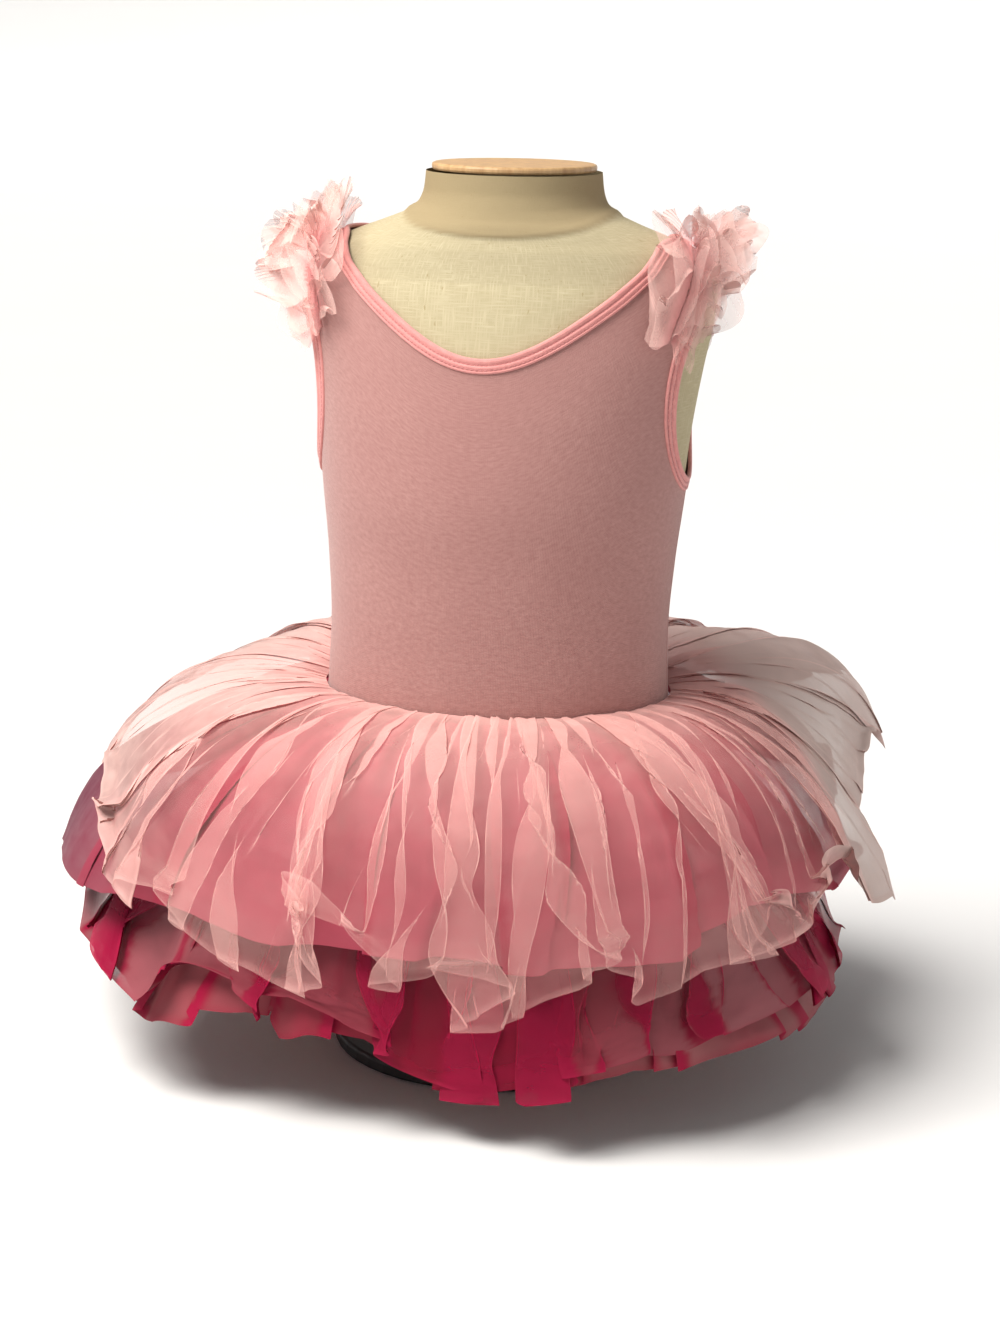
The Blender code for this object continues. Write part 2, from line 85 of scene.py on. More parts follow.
# direction (deg), hem's reach and height over the waist (mm), slope at the waist and at the hem (deg)
PALE_FALL = (
    (0, 211, -96, 4, -64), (45, 206, -92, 8, -78), (90, 173, -130, 0, -86), (135, 207, -84, 10, -80),
    (180, 222, -45, 14, -64), (225, 222, -34, 18, -62), (270, 220, -40, 16, -64), (315, 222, -26, 16, -56),
)
ROSE_FALL = (
    (0, 188, -108, -8, -80), (45, 188, -93, -8, -82), (90, 151, -95, -12, -88), (135, 190, -92, -8, -78),
    (180, 250, -92, -14, -60), (225, 226, -72, -6, -64), (270, 210, -78, -4, -68), (315, 208, -66, -6, -66),
)
HOT_PINK_FALL = (
    (0, 178, -132, -36, -62), (45, 180, -156, -40, -68), (90, 147, -178, -48, -80),
    (135, 188, -140, -38, -62), (180, 219, -126, -32, -60), (225, 204, -116, -28, -64),
    (270, 184, -126, -28, -70), (315, 184, -122, -28, -70),
)

# -------- surfaces


def hermite(u, start, leave, end, arrive):
    """A cubic from start to end, with its slopes at both; u runs from 0 to 1."""
    return (
        start * (1 + 2 * u) * (1 - u) ** 2
        + leave * u * (1 - u) ** 2
        + end * u * u * (3 - 2 * u)
        + arrive * u * u * (u - 1)
    )


def smooth_table(x, xs, ys):
    """A monotone cubic through the table's points."""
    xs, ys, x = np.asarray(xs, float), np.asarray(ys, float), np.asarray(x, float)
    steps = np.diff(xs)
    rates = np.diff(ys) / steps
    slopes = np.zeros_like(ys)
    turning = rates[:-1] * rates[1:] <= 0
    with np.errstate(divide="ignore", invalid="ignore"):
        mean = 2 * rates[:-1] * rates[1:] / (rates[:-1] + rates[1:])
    slopes[1:-1] = np.where(turning, 0, mean)
    slopes[0], slopes[-1] = rates[0], rates[-1]
    i = np.clip(np.searchsorted(xs, x, side="right") - 1, 0, len(steps) - 1)
    u = np.clip((x - xs[i]) / steps[i], 0, 1)
    return hermite(u, ys[i], slopes[i] * steps[i], ys[i + 1], slopes[i + 1] * steps[i])


def unit(vectors):
    return vectors / np.maximum(np.linalg.norm(vectors, axis=-1, keepdims=True), 1e-12)


def torso_ring(height):
    heights, widths, depths, centres = (np.array(c) * MM for c in zip(*TORSO_RINGS))
    return tuple(smooth_table(height, heights, c) for c in (widths, depths, centres))


def torso_point(t, height):
    t, height = np.broadcast_arrays(np.asarray(t, float), np.asarray(height, float))
    width, depth, centre = torso_ring(height)
    return np.stack([width * np.cos(t), centre - depth * np.sin(t), height + WAIST], axis=-1)


def torso_slopes(t, height):
    dt, dz = 1e-4, 0.2 * MM
    by_angle = (torso_point(t + dt, height) - torso_point(t - dt, height)) / (2 * dt)
    by_height = (torso_point(t, height + dz) - torso_point(t, height - dz)) / (2 * dz)
    return by_angle, by_height


def torso_normal(t, height):
    by_angle, by_height = torso_slopes(t, height)
    return unit(np.cross(by_height, by_angle))


def on_torso(t, height, lift):
    t, height, lift = np.broadcast_arrays(t, height, lift)
    return torso_point(t, height) + torso_normal(t, height) * lift[..., None]


def shifted_curve(t, height, width, steps=6):
    """A closed curve on the torso, moved sideways along the surface by a width."""
    t, height = np.array(t, float), np.array(height, float)
    for _ in range(steps):
        points = torso_point(t, height)
        along = unit(np.roll(points, -1, axis=0) - np.roll(points, 1, axis=0))
        sideways = np.cross(torso_normal(t, height), along) * (width / steps)
        by_angle, by_height = torso_slopes(t, height)
        angle_size = np.sum(by_angle**2, axis=-1)
        height_size = np.sum(by_height**2, axis=-1)
        shear = np.sum(by_angle * by_height, axis=-1)
        a = np.sum(sideways * by_angle, axis=-1)
        b = np.sum(sideways * by_height, axis=-1)
        area = angle_size * height_size - shear**2
        t = t + (a * height_size - b * shear) / area
        height = height + (b * angle_size - a * shear) / area
    return t, height


def neck_edge(t):
    side = np.sin(t)
    drop = np.where(side > 0, NECK_DROP_FRONT, NECK_DROP_BACK)
    return NECK_AT_SHOULDER - drop * np.abs(side) ** NECK_ROUNDNESS


def neck_curve(steps):
    t = np.arange(steps) / steps * TURN
    return t, neck_edge(t)


def armhole_curve(steps, centre):
    turn = (np.arange(steps) + 0.5) / steps * TURN
    return (
        centre + ARMHOLE_HALF_ANGLE * np.cos(turn),
        ARMHOLE_MIDDLE + ARMHOLE_HALF_HEIGHT * np.sin(turn),
    )


def fall_at(t, fall):
    angles, *columns = (np.array(c, float) for c in zip(*fall))
    angles = np.radians(np.concatenate([angles - 360, angles, angles + 360]))
    t = np.mod(t, TURN)
    reach, height, start, end = (smooth_table(t, angles, np.tile(c, 3)) for c in columns)
    return reach * MM, height * MM, np.radians(start), np.radians(end)


def skirt_fall(t, share, fall, seam):
    """Points, upward normals and run of a layer's smooth form, for arrays of one shape."""
    reach, height, start, end = fall_at(t, fall)
    waist = on_torso(t, seam, ON_BODICE)
    hem = np.stack([np.cos(t) * reach, -np.sin(t) * reach, height + WAIST], axis=-1)
    span = hem - waist
    size = np.linalg.norm(span, axis=-1, keepdims=True) * FALL_FULLNESS
    outward = unit(span * np.array([1, 1, 0]))
    upward = np.array([0.0, 0.0, 1.0])
    leave, arrive = (
        (outward * np.cos(slope)[..., None] + upward * np.sin(slope)[..., None]) * size
        for slope in (start, end)
    )
    u = share[..., None]
    points = hermite(u, waist, leave, hem, arrive)
    run = unit(span * 6 * u * (1 - u) + leave * (1 - u) * (1 - 3 * u) + arrive * u * (3 * u - 2))
    normal = upward * np.sum(run * outward, axis=-1, keepdims=True) - outward * run[..., 2:]
    return points, unit(normal), run


def wander(u, v, cells_u, cells_v, seed):
    """Smooth noise from about -1 to 1, closed round u; u and v run from 0 to 1."""
    grid = np.random.default_rng(seed).uniform(-1, 1, (cells_v + 4, cells_u))
    x, y = np.mod(u, 1) * cells_u, np.clip(v, 0, 1) * cells_v + 1
    i, j = np.floor(x).astype(int), np.floor(y).astype(int)

    def weights(f):
        return (
            (1 - f) ** 3 / 6,
            (3 * f**3 - 6 * f**2 + 4) / 6,
            (-3 * f**3 + 3 * f**2 + 3 * f + 1) / 6,
            f**3 / 6,
        )

    across, down = weights(x - i), weights(y - j)
    total = 0
    for b in range(4):
        for a in range(4):
            total = total + across[a] * down[b] * grid[j - 1 + b, (i - 1 + a) % cells_u]
    return np.clip(total * 2.1, -1, 1)


def table(s, rows):
    """A value that changes with the share of the fall: rows of (share, value)."""
    xs, ys = zip(*rows)
    return np.interp(s, xs, ys)


def ease(x, low, high):
    """0 below low and 1 above high, with a smooth step between them."""
    x = np.clip((x - low) / (high - low), 0, 1)
    return x * x * (3 - 2 * x)


def bell(x, half):
    """1 at 0, and almost nothing past twice half on each side."""
    return np.exp(-((x / half) ** 2))


# -------- meshes


def add_mesh(name, points, faces, material, uvs=None, values=None):
    """A mesh from numpy arrays: faces all have as many corners as each other."""
    mesh = bpy.data.meshes.new(name)
    mesh.vertices.add(len(points))
    mesh.vertices.foreach_set("co", np.asarray(points, np.float32).ravel())
    sides = faces.shape[1]
    mesh.loops.add(faces.size)
    mesh.loops.foreach_set("vertex_index", faces.astype(np.int32).ravel())
    mesh.polygons.add(len(faces))
    mesh.polygons.foreach_set("loop_start", np.arange(0, faces.size, sides, dtype=np.int32))
    mesh.update(calc_edges=True)
    if uvs is not None:
        layer = mesh.uv_layers.new(name="fabric")
        layer.data.foreach_set("uv", np.asarray(uvs, np.float32).ravel())
    for key, numbers in (values or {}).items():
        attribute = mesh.attributes.new(name=key, type="FLOAT", domain="POINT")
        attribute.data.foreach_set("value", np.asarray(numbers, np.float32).ravel())
    mesh.shade_smooth()
    made = bpy.data.objects.new(name, mesh)
    bpy.context.scene.collection.objects.link(made)
    mesh.materials.append(material)
    return made


QUAD = ((0, 0), (1, 0), (1, 1), (0, 1))


def grid_faces(rows, columns, closed):
    """A grid's faces, and the column and row of each of their corners."""
    last = columns if closed else columns - 1
    r, c = np.meshgrid(np.arange(rows - 1), np.arange(last), indexing="ij")
    r, c = r.ravel(), c.ravel()
    faces = np.stack([(r + y) * columns + (c + x) % columns for x, y in QUAD], axis=-1)
    corners = np.stack([np.stack([c + x, r + y], -1) for x, y in QUAD], axis=1)
    return faces, corners


def add_grids(name, grids, closed, cut, material, values=None, drop=None):
    """One object of grids (rows, columns, 3), each with its own piece of the fabric's UVs in metres."""
    points, faces, uvs, first = [], [], [], 0
    for grid in grids:
        rows, columns = grid.shape[:2]
        quads, corners = grid_faces(rows, columns, closed)
        if drop is not None:
            keep = ~drop.ravel()
            quads, corners = quads[keep], corners[keep]
        across = cut[0] / (columns if closed else columns - 1)
        uvs.append(corners * np.array([across, cut[1] / (rows - 1)]))
        points.append(grid.reshape(-1, 3))
        faces.append(quads + first)
        first += rows * columns
    points, faces, uvs = (np.concatenate(parts) for parts in (points, faces, uvs))
    values = {key: np.concatenate([x.ravel() for x in v]) for key, v in (values or {}).items()}
    return add_mesh(name, points, faces, material, uvs, values)


def row_lengths(grid, closed):
    steps = np.diff(np.concatenate([grid, grid[:, :1]], axis=1) if closed else grid, axis=1)
    return np.linalg.norm(steps, axis=-1).sum(axis=1)


def column_lengths(grid):
    return np.linalg.norm(np.diff(grid, axis=0), axis=-1).sum(axis=0)


def grid_area(grid, closed):
    wide = np.concatenate([grid, grid[:, :1]], axis=1) if closed else grid
    a = wide[1:, 1:] - wide[:-1, :-1]
    b = wide[1:, :-1] - wide[:-1, 1:]
    return float(np.linalg.norm(np.cross(a, b), axis=-1).sum() / 2)


def normals_of(grid, closed):
    if closed:
        around = np.roll(grid, -1, axis=1) - np.roll(grid, 1, axis=1)
    else:
        around = np.gradient(grid, axis=1)
    return unit(np.cross(around, np.gradient(grid, axis=0)))


def read(things, key, kind, width):
    """A property of all of a mesh's elements, a row for each."""
    numbers = np.empty(len(things) * width, kind)
    things.foreach_get(key, numbers)
    return numbers.reshape(-1, width)


def even_shading(made, fronts, share=0.85):
    """Leans a net's shading normals toward those of its smooth form, as a net scatters light all round.

    A face that lies turned over keeps them reversed, so that both its sides shade as its form does.
    """
    mesh = made.data
    corners = read(mesh.loops, "vertex_index", np.int32, 1).ravel()
    faces = read(mesh.polygons, "normal", np.float32, 3)
    own = read(mesh.vertices, "normal", np.float32, 3)
    front = np.concatenate([f.reshape(-1, 3) for f in fronts])
    own = own * np.where(np.sum(own * front, axis=1, keepdims=True) < 0, -1, 1)
    out = unit(share * front + (1 - share) * own)[corners]
    faces = np.repeat(faces, 4, axis=0)
    out = out * np.where(np.sum(faces * front[corners], axis=1, keepdims=True) < 0, -1, 1)
    mesh.normals_split_custom_set(out.tolist())


def thicken(made, thickness):
    """Gives a piece its wall, outward of its mesh."""
    wall = made.modifiers.new("thickness", "SOLIDIFY")
    wall.thickness = thickness
    wall.offset = 1.0


def settle(made, slot, *nodes):
    """Puts a piece on the object's one body, in place of its CAD nodes."""
    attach(made, "root")
    if nodes:
        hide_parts(*nodes)
    return made


# -------- materials


class Finish:
    """A small helper that adds shader nodes and joins them."""

    def __init__(self, name):
        self.material = bpy.data.materials.new(name)
        self.material.use_nodes = True
        self.tree = self.material.node_tree
        self.shader = self.tree.nodes["Principled BSDF"]

    def node(self, kind, **settings):
        made = self.tree.nodes.new(kind)
        for key, value in settings.items():
            setattr(made, key, value)
        return made

    def set(self, socket, value):
        if isinstance(value, bpy.types.NodeSocket):
            self.tree.links.new(value, socket)
        else:
            socket.default_value = value

    def math(self, operation, a, b=0.0, clamp=False):
        made = self.node("ShaderNodeMath", operation=operation, use_clamp=clamp)
        self.set(made.inputs[0], a)
        self.set(made.inputs[1], b)
        return made.outputs[0]

    def times(self, a, b):
        return self.math("MULTIPLY", a, b)

    def plus(self, a, b):
        return self.math("ADD", a, b)

    def minus(self, a, b, clamp=False):
        return self.math("SUBTRACT", a, b, clamp)

    def span(self, value, low, high, to_low=0.0, to_high=1.0):
        made = self.node("ShaderNodeMapRange", clamp=True)
        for socket, given in zip(made.inputs, (value, low, high, to_low, to_high)):
            self.set(socket, given)
        return made.outputs[0]

    def mix(self, share, a, b, **settings):
        made = self.node("ShaderNodeMix", data_type="RGBA", **settings)
        self.set(made.inputs["Factor"], share)
        for socket, given in ((made.inputs[6], a), (made.inputs[7], b)):
            self.set(socket, (*given, 1.0) if isinstance(given, tuple) else given)
        return made.outputs[2]

    def fabric(self):
        """The cloth's own coordinates in metres, as x, y and the vector."""
        uv = self.node("ShaderNodeUVMap", uv_map="fabric")
        split = self.node("ShaderNodeSeparateXYZ")
        self.set(split.inputs[0], uv.outputs[0])
        return split.outputs[0], split.outputs[1], uv.outputs[0]

    def place(self):
        return self.node("ShaderNodeTexCoord").outputs["Object"]

    def stretched(self, vector, scale):
        made = self.node("ShaderNodeVectorMath", operation="MULTIPLY")
        self.set(made.inputs[0], vector)
        self.set(made.inputs[1], scale)
        return made.outputs[0]

    def noise(self, vector, scale, detail=3.0, roughness=0.5):
        made = self.node("ShaderNodeTexNoise")
        given = {"Vector": vector, "Scale": scale, "Detail": detail, "Roughness": roughness}
        for key, value in given.items():
            self.set(made.inputs[key], value)
        return made.outputs[0]

    def value(self, name):
        return self.node("ShaderNodeAttribute", attribute_name=name).outputs["Fac"]

    def bump(self, height, distance, strength=1.0):
        made = self.node("ShaderNodeBump")
        for key, value in {"Strength": strength, "Distance": distance, "Height": height}.items():
            self.set(made.inputs[key], value)
        self.set(self.shader.inputs["Normal"], made.outputs[0])

    def surface(self, **sockets):
        """Sets the shader's sockets, each named with _ for its spaces."""
        for key, value in sockets.items():
            self.set(self.shader.inputs[key.replace("_", " ")], value)


def linear(red, green, blue):
    """A display colour, from 0 to 255, as the linear light that shaders take."""
    shown = np.array([red, green, blue]) / 255
    light = np.where(shown <= 0.04045, shown / 12.92, ((shown + 0.055) / 1.055) ** 2.4)
    return tuple(float(x) for x in light)


def tulle_finish(name, flat, folded, worn, thin, dim, sheen):
    """Hexagonal net, where each thickness lets some of the light by.

    flat, folded and worn are its display colours; thin is how much of the light one thickness
    stops, and dim how much more of it once the net is greyed. The mesh's own values drive it: fold
    is how steeply the net stands, which is how much of it one looks through; thick is whether it
    lies folded over itself; tone is how greyed it is.
    """
    flat, folded, worn = linear(*flat), linear(*folded), linear(*worn)
    f = Finish(name)
    x, y, vector = f.fabric()
    x = f.times(x, TURN / NET_PITCH)
    half = f.times(x, 0.5)
    tall = f.times(y, TURN / NET_PITCH * math.sqrt(3) / 2)
    holes = f.plus(f.math("COSINE", x), f.math("COSINE", f.plus(half, tall)))
    holes = f.plus(holes, f.math("COSINE", f.minus(half, tall)))
    thread = f.span(holes, 1.6, -0.9, 0.98, 1.02)
    cloud = f.noise(vector, 60.0, 2.0, 0.65)
    tone = f.value("tone")
    clear = f.minus(1 - thin, f.times(tone, dim * (1 - thin)))
    layers = f.plus(f.times(f.value("fold"), FOLD_LAYERS), 1.0)
    layers = f.times(f.times(layers, f.span(cloud, 0.25, 0.75, 0.8, 1.2)), thread)
    veil = f.minus(1.0, f.math("POWER", clear, layers), clamp=True)
    doubled = f.math("MAXIMUM", f.value("thick"), f.value("fold"))
    doubled = f.times(doubled, f.minus(1.0, f.times(tone, 0.8)))
    colour = f.mix(doubled, f.mix(tone, flat, worn), folded)
    shade = f.mix(f.span(cloud, 0.3, 0.7), (0.92, 0.9, 0.9), (1.0, 1.0, 1.0))
    f.surface(
        Base_Color=f.mix(1.0, colour, shade, blend_type="MULTIPLY"),
        Alpha=veil,
        Roughness=f.span(cloud, 0.3, 0.7, 0.5, 0.68),
        Specular_IOR_Level=0.25,
        Sheen_Weight=sheen,
        Sheen_Roughness=0.4,
        Sheen_Tint=(*folded, 1.0),
    )
    return f.material


def jersey_finish(name, colour, shade):
    """Fine single jersey: columns of V-shaped stitches, and a soft heather."""
    colour, shade = linear(*colour), linear(*shade)
    f = Finish(name)
    x, y, vector = f.fabric()
    ribs = f.times(x, TURN / KNIT_RIB)
    slant = f.times(f.math("ABSOLUTE", f.math("SINE", f.times(ribs, 0.5))), 2.2)
    courses = f.plus(f.times(y, TURN / KNIT_COURSE), slant)
    loops = f.times(f.math("SINE", courses), 0.5)
    knit = f.plus(f.times(f.math("COSINE", ribs), 0.5), loops)
    heather = f.noise(f.stretched(vector, (1.0, 2.2, 1.0)), 260.0, 4.0, 0.65)
    cloud = f.noise(vector, 22.0, 2.0)
    mixed = f.mix(f.span(heather, 0.3, 0.7), shade, colour)
    f.surface(
        Base_Color=f.mix(f.span(cloud, 0.3, 0.75, 0.0, 0.35), mixed, shade),
        Roughness=f.span(heather, 0.3, 0.7, 0.72, 0.86),
        Specular_IOR_Level=0.2,
        Sheen_Weight=0.3,
        Sheen_Roughness=0.5,
    )
    f.bump(f.plus(knit, f.times(heather, 0.8)), 0.12 * MM, 0.6)
    return f.material


def linen_finish():
    """Undyed linen: plain weave with thicker threads here and there, specks of bark, and painted shade that
    darkens the neck.
    """
    f = Finish("linen_weave")
    x, y, vector = f.fabric()
    warp_slub = f.noise(f.stretched(vector, (1400.0, 90.0, 1.0)), 1.0, 2.0)
    weft_slub = f.noise(f.stretched(vector, (90.0, 1400.0, 1.0)), 1.0, 2.0)
    warp, weft = (f.math("SINE", f.times(run, TURN / LINEN_THREADS)) for run in (x, y))
    slub = f.math("MAXIMUM", warp_slub, weft_slub)
    colour = f.mix(f.span(slub, 0.42, 0.75), linear(178, 166, 134), linear(200, 190, 159))
    cloud = f.noise(vector, 30.0, 3.0)
    colour = f.mix(f.span(cloud, 0.35, 0.8, 0.0, 0.5), colour, linear(181, 169, 138))
    # Painted shade: where the neck value is high, the linen is mixed towards a dull brown.
    colour = f.mix(f.value("neck"), colour, linear(160, 142, 108))
    speck = f.noise(f.stretched(vector, (500.0, 210.0, 1.0)), 1.0, 1.0)
    f.surface(
        Base_Color=f.mix(f.span(speck, 0.70, 0.78, 0.0, 0.55), colour, linear(150, 130, 88)),
        Roughness=f.span(slub, 0.3, 0.8, 0.92, 0.78),
        Specular_IOR_Level=0.2,
    )
    f.bump(f.plus(f.times(f.times(warp, weft), 0.4), slub), 0.22 * MM, 0.7)
    return f.material


def thread_finish(name, colour, dark):
    f = Finish(name)
    twist = f.span(f.noise(f.place(), 2600.0, 2.0), 0.3, 0.7)
    f.surface(Base_Color=f.mix(twist, linear(*dark), linear(*colour)), Roughness=0.55, Sheen_Weight=0.25)
    return f.material


def wood_finish():
    f = Finish("turned_wood")
    place = f.place()
    grain = f.noise(f.stretched(place, (60.0, 60.0, 6.0)), 4.0, 5.0, 0.6)
    colour = f.mix(f.span(grain, 0.3, 0.7), linear(168, 128, 84), linear(206, 170, 124))
    f.surface(Base_Color=colour, Roughness=f.span(grain, 0.3, 0.7, 0.38, 0.52))
    f.bump(grain, 0.2 * MM, 0.3)
    return f.material


def metal_finish():
    f = Finish("powder_coat")
    speckle = f.noise(f.place(), 1500.0, 2.0)
    wear = f.noise(f.place(), 18.0, 4.0)
    colour = f.mix(f.span(wear, 0.55, 0.8, 0.0, 0.5), linear(42, 40, 42), linear(74, 70, 70))
    f.surface(Base_Color=colour, Roughness=f.span(speckle, 0.3, 0.7, 0.42, 0.6), Metallic=0.25)
    f.bump(speckle, 0.06 * MM, 0.4)
    return f.material


# -------- the dress form

NECK_SEAM = 258 * MM
NECK_SEAM_DIP_FRONT, NECK_SEAM_DIP_BACK = 10 * MM, 3 * MM
TORSO_HALF_WIDTH = 97 * MM
TORSO_RADIUS = 95 * MM
TORSO_TALL = 397 * MM


def make_form():
    linen = linen_finish()
    # The rows lie closer together from the seam of the neck up.
    heights = np.concatenate([np.linspace(-118, 225, 110), np.linspace(226, 279, 48)]) * MM
    columns = 160
    t, height = np.meshgrid(-np.arange(columns) / columns * TURN, heights)
    # The neck is a piece of its own, turned under along a seam that dips at the front and back.
    front, back = np.clip(np.sin(t), 0, 1), np.clip(-np.sin(t), 0, 1)
    seam = NECK_SEAM - NECK_SEAM_DIP_FRONT * front**2 - NECK_SEAM_DIP_BACK * back
    above = ease(height, seam - 0.6 * MM, seam + 0.6 * MM)
    roll = bell(height - seam - 1.4 * MM, 1.3 * MM)
    groove = bell(height - seam + 0.8 * MM, 0.8 * MM)
    side_seams = bell(np.sin(t) * TORSO_HALF_WIDTH, 1.0 * MM)
    grid = on_torso(t, height, (0.45 * above + 0.5 * roll - 0.3 * groove - 0.25 * side_seams) * MM)
    # The neck value marks where the linen takes painted shade: everywhere above the neck seam.
    cut, neck = (TURN * TORSO_RADIUS, TORSO_TALL), [0.85 * above]
    made = add_grids("form_torso_linen", [grid], True, cut, linen, {"neck": neck})
    settle(made, "linen", "form_torso")
    for name, finish in (
        ("form_neck_cap", wood_finish()),
        ("form_collar", wood_finish()),
        ("form_pole", metal_finish()),
        ("form_base", metal_finish()),
    ):
        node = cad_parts[name]
        node.data.materials.clear()
        node.data.materials.append(finish)


# -------- the bodice


def sheet_area(area, cut):
    box = cut[0] * cut[1]
    return float(np.clip(area, LEAST_AREA * box, box))


def bodice_panel(name, first, last, finish, columns=150, rows=110):
    """Half of the bodice, from side seam to side seam, running under the bindings at its edges."""
    many = 480
    top_t, top = shifted_curve(*neck_curve(many), BINDING_WIDTH * 0.55)
    numbers = np.arange(-1, many + 2)
    turns = np.floor_divide(numbers, many) * TURN
    base_t = np.linspace(first, last, columns)
    wanted = base_t / TURN * many
    top_t = np.interp(wanted, numbers, top_t[numbers % many] + turns)
    top = np.interp(wanted, numbers, top[numbers % many])
    # The rows lie closer together towards the neck.
    share = 1 - (1 - np.linspace(0, 1, rows)[:, None]) ** 1.6
    t = base_t + (top_t - base_t) * share
    height = BODICE_HEM + (top - BODICE_HEM) * share
    # Stretched knit lies close: slow, shallow swells, and small drags by the waist.
    u, v = (t / TURN) % 1, (height - BODICE_HEM) / BODICE_TALL
    drags = 0.28 * wander(u, v, 26, 5, 11) * (1 - ease(height, 0.0, 50 * MM))
    swell = 0.25 * wander(u, v, 7, 4, 12) + drags
    from_seam = np.minimum(np.abs(base_t - first), np.abs(base_t - last)) * TORSO_RADIUS
    seam = 0.3 * bell(from_seam - 2.2 * MM, 1.2 * MM) - 0.45 * bell(from_seam, 1.1 * MM)
    grid = on_torso(t, height, JERSEY_LIFT + (0.3 + swell + seam) * MM)
    # The armholes' edges run under their bindings.
    middle_t = (t[1:, 1:] + t[:-1, :-1]) / 2
    middle = (height[1:, 1:] + height[:-1, :-1]) / 2
    drop = np.zeros_like(middle, bool)
    for centre in (0.0, math.pi, TURN):
        wide = (middle_t - centre) / (ARMHOLE_HALF_ANGLE + 0.035)
        tall = (middle - ARMHOLE_MIDDLE) / (ARMHOLE_HALF_HEIGHT + 3.6 * MM)
        drop |= wide**2 + tall**2 < 1
    rows_below_armholes = 60
    wide = float(row_lengths(grid, False)[:rows_below_armholes].max())
    cut = (wide, float(column_lengths(grid).max()))
    made = add_grids(name, [grid], False, cut, finish, drop=drop)
    thicken(made, JERSEY)
    settle(made, "jersey", name)
    # Half of each armhole is cut out of each panel.
    area = grid_area(grid, False) - math.pi * ARMHOLE_HALF_WIDTH * ARMHOLE_HALF_HEIGHT
    area = sheet_area(area, cut)


# The binding's outline: share of its width, lift over the form (mm).
BINDING_PROFILE = (
    (0.02, 1.2), (-0.05, 1.9), (-0.02, 2.8), (0.08, 3.4), (0.20, 3.5), (0.32, 3.1),
    (0.40, 2.4), (0.44, 2.35), (0.50, 2.9), (0.60, 3.05), (0.70, 2.85), (0.76, 2.3),
    (0.80, 2.3), (0.86, 2.75), (0.94, 2.75), (1.01, 2.2), (1.0, 1.2),
)
STITCH_ROWS = (0.44, 0.76)
STITCH_PITCH, STITCH_LIFT = 2.5 * MM, 2.5 * MM
STITCH_REACH, STITCH_RADIUS = 1.0 * MM, 0.3 * MM
# A stitch's rings: share of its reach along the seam, share of its radius, rise (mm).
STITCH_RINGS = ((-1.05, 0.35, -0.10), (-0.6, 1.0, 0.10), (0.6, 1.0, 0.10), (1.05, 0.35, -0.10))


def make_binding(name, t, height, finish, thread):
    curves = {share: shifted_curve(t, height, BINDING_WIDTH * share) for share, _ in BINDING_PROFILE}
    grid = np.stack([on_torso(*curves[share], lift * MM) for share, lift in BINDING_PROFILE])
    cut = (float(row_lengths(grid, True).mean()), float(column_lengths(grid).mean()))
    made = add_grids(name + "_strip", [grid], True, cut, finish)
    settle(made, "binding", name)
    seams = [
        stitch_row(f"{name}_stitches_{i}", *curves[share], thread)
        for i, share in enumerate(STITCH_ROWS, 1)
    ]


def stitch_row(name, t, height, thread):
    """A row of short raised stitches along a closed curve on the torso."""
    path = on_torso(t, height, STITCH_LIFT)
    closed = np.concatenate([path, path[:1]])
    run = np.concatenate([[0], np.cumsum(np.linalg.norm(np.diff(closed, axis=0), axis=-1))])
    count = int(run[-1] / STITCH_PITCH)
    middles = np.arange(count) / count * run[-1]
    start, middle, end = (
        np.stack([np.interp((middles + past) % run[-1], run, axis) for axis in closed.T], -1)
        for past in (-STITCH_REACH, 0, STITCH_REACH)
    )
    along = unit(end - start)
    # Level and away from the torso's axis, which lies 5 mm behind the origin.
    up = unit((middle - np.array([0, 5 * MM, 0])) * np.array([1, 1, 0]))
    across = unit(np.cross(along, up))
    lifted = unit(np.cross(across, along))
    sides = 6
    angles = np.arange(sides)[None, :, None] / sides * TURN
    spokes = across[:, None] * np.cos(angles) + lifted[:, None] * np.sin(angles)
    rings = []
    for share, wide, rise in STITCH_RINGS:
        centre = middle + along * (share * STITCH_REACH) + lifted * (rise * MM)
        rings.append(centre[:, None] + spokes * (STITCH_RADIUS * wide))
    points = np.stack(rings, axis=1)
    quads, _ = grid_faces(len(STITCH_RINGS), sides, True)
    firsts = np.arange(count) * len(STITCH_RINGS) * sides
    faces = (quads[None] + firsts[:, None, None]).reshape(-1, 4)
    return settle(add_mesh(name, points.reshape(-1, 3), faces, thread), "binding")


def make_bodice():
    jersey = jersey_finish("jersey_knit", (184, 139, 133), (163, 115, 111))
    ribbon = jersey_finish("binding_knit", (230, 160, 154), (208, 136, 134))
    thread = thread_finish("pink_thread", (214, 140, 138), (180, 104, 106))
    bodice_panel("bodice_front", 0.0, math.pi, jersey)
    bodice_panel("bodice_back", math.pi, TURN, jersey)
    make_binding("neck_binding", *neck_curve(260), ribbon, thread)
    for side, centre in (("left", 0.0), ("right", math.pi)):
        make_binding(f"armhole_binding_{side}", *armhole_curve(180, centre), ribbon, thread)


# -------- the skirt

# The layers' waist seams, over the waist, and the share of the fall that the frill is sewn on at.
PALE_SEAM, ROSE_SEAM, HOT_SEAM = 3.5 * MM, -0.2 * MM, -4.5 * MM
FRILL_SEAM = 0.52
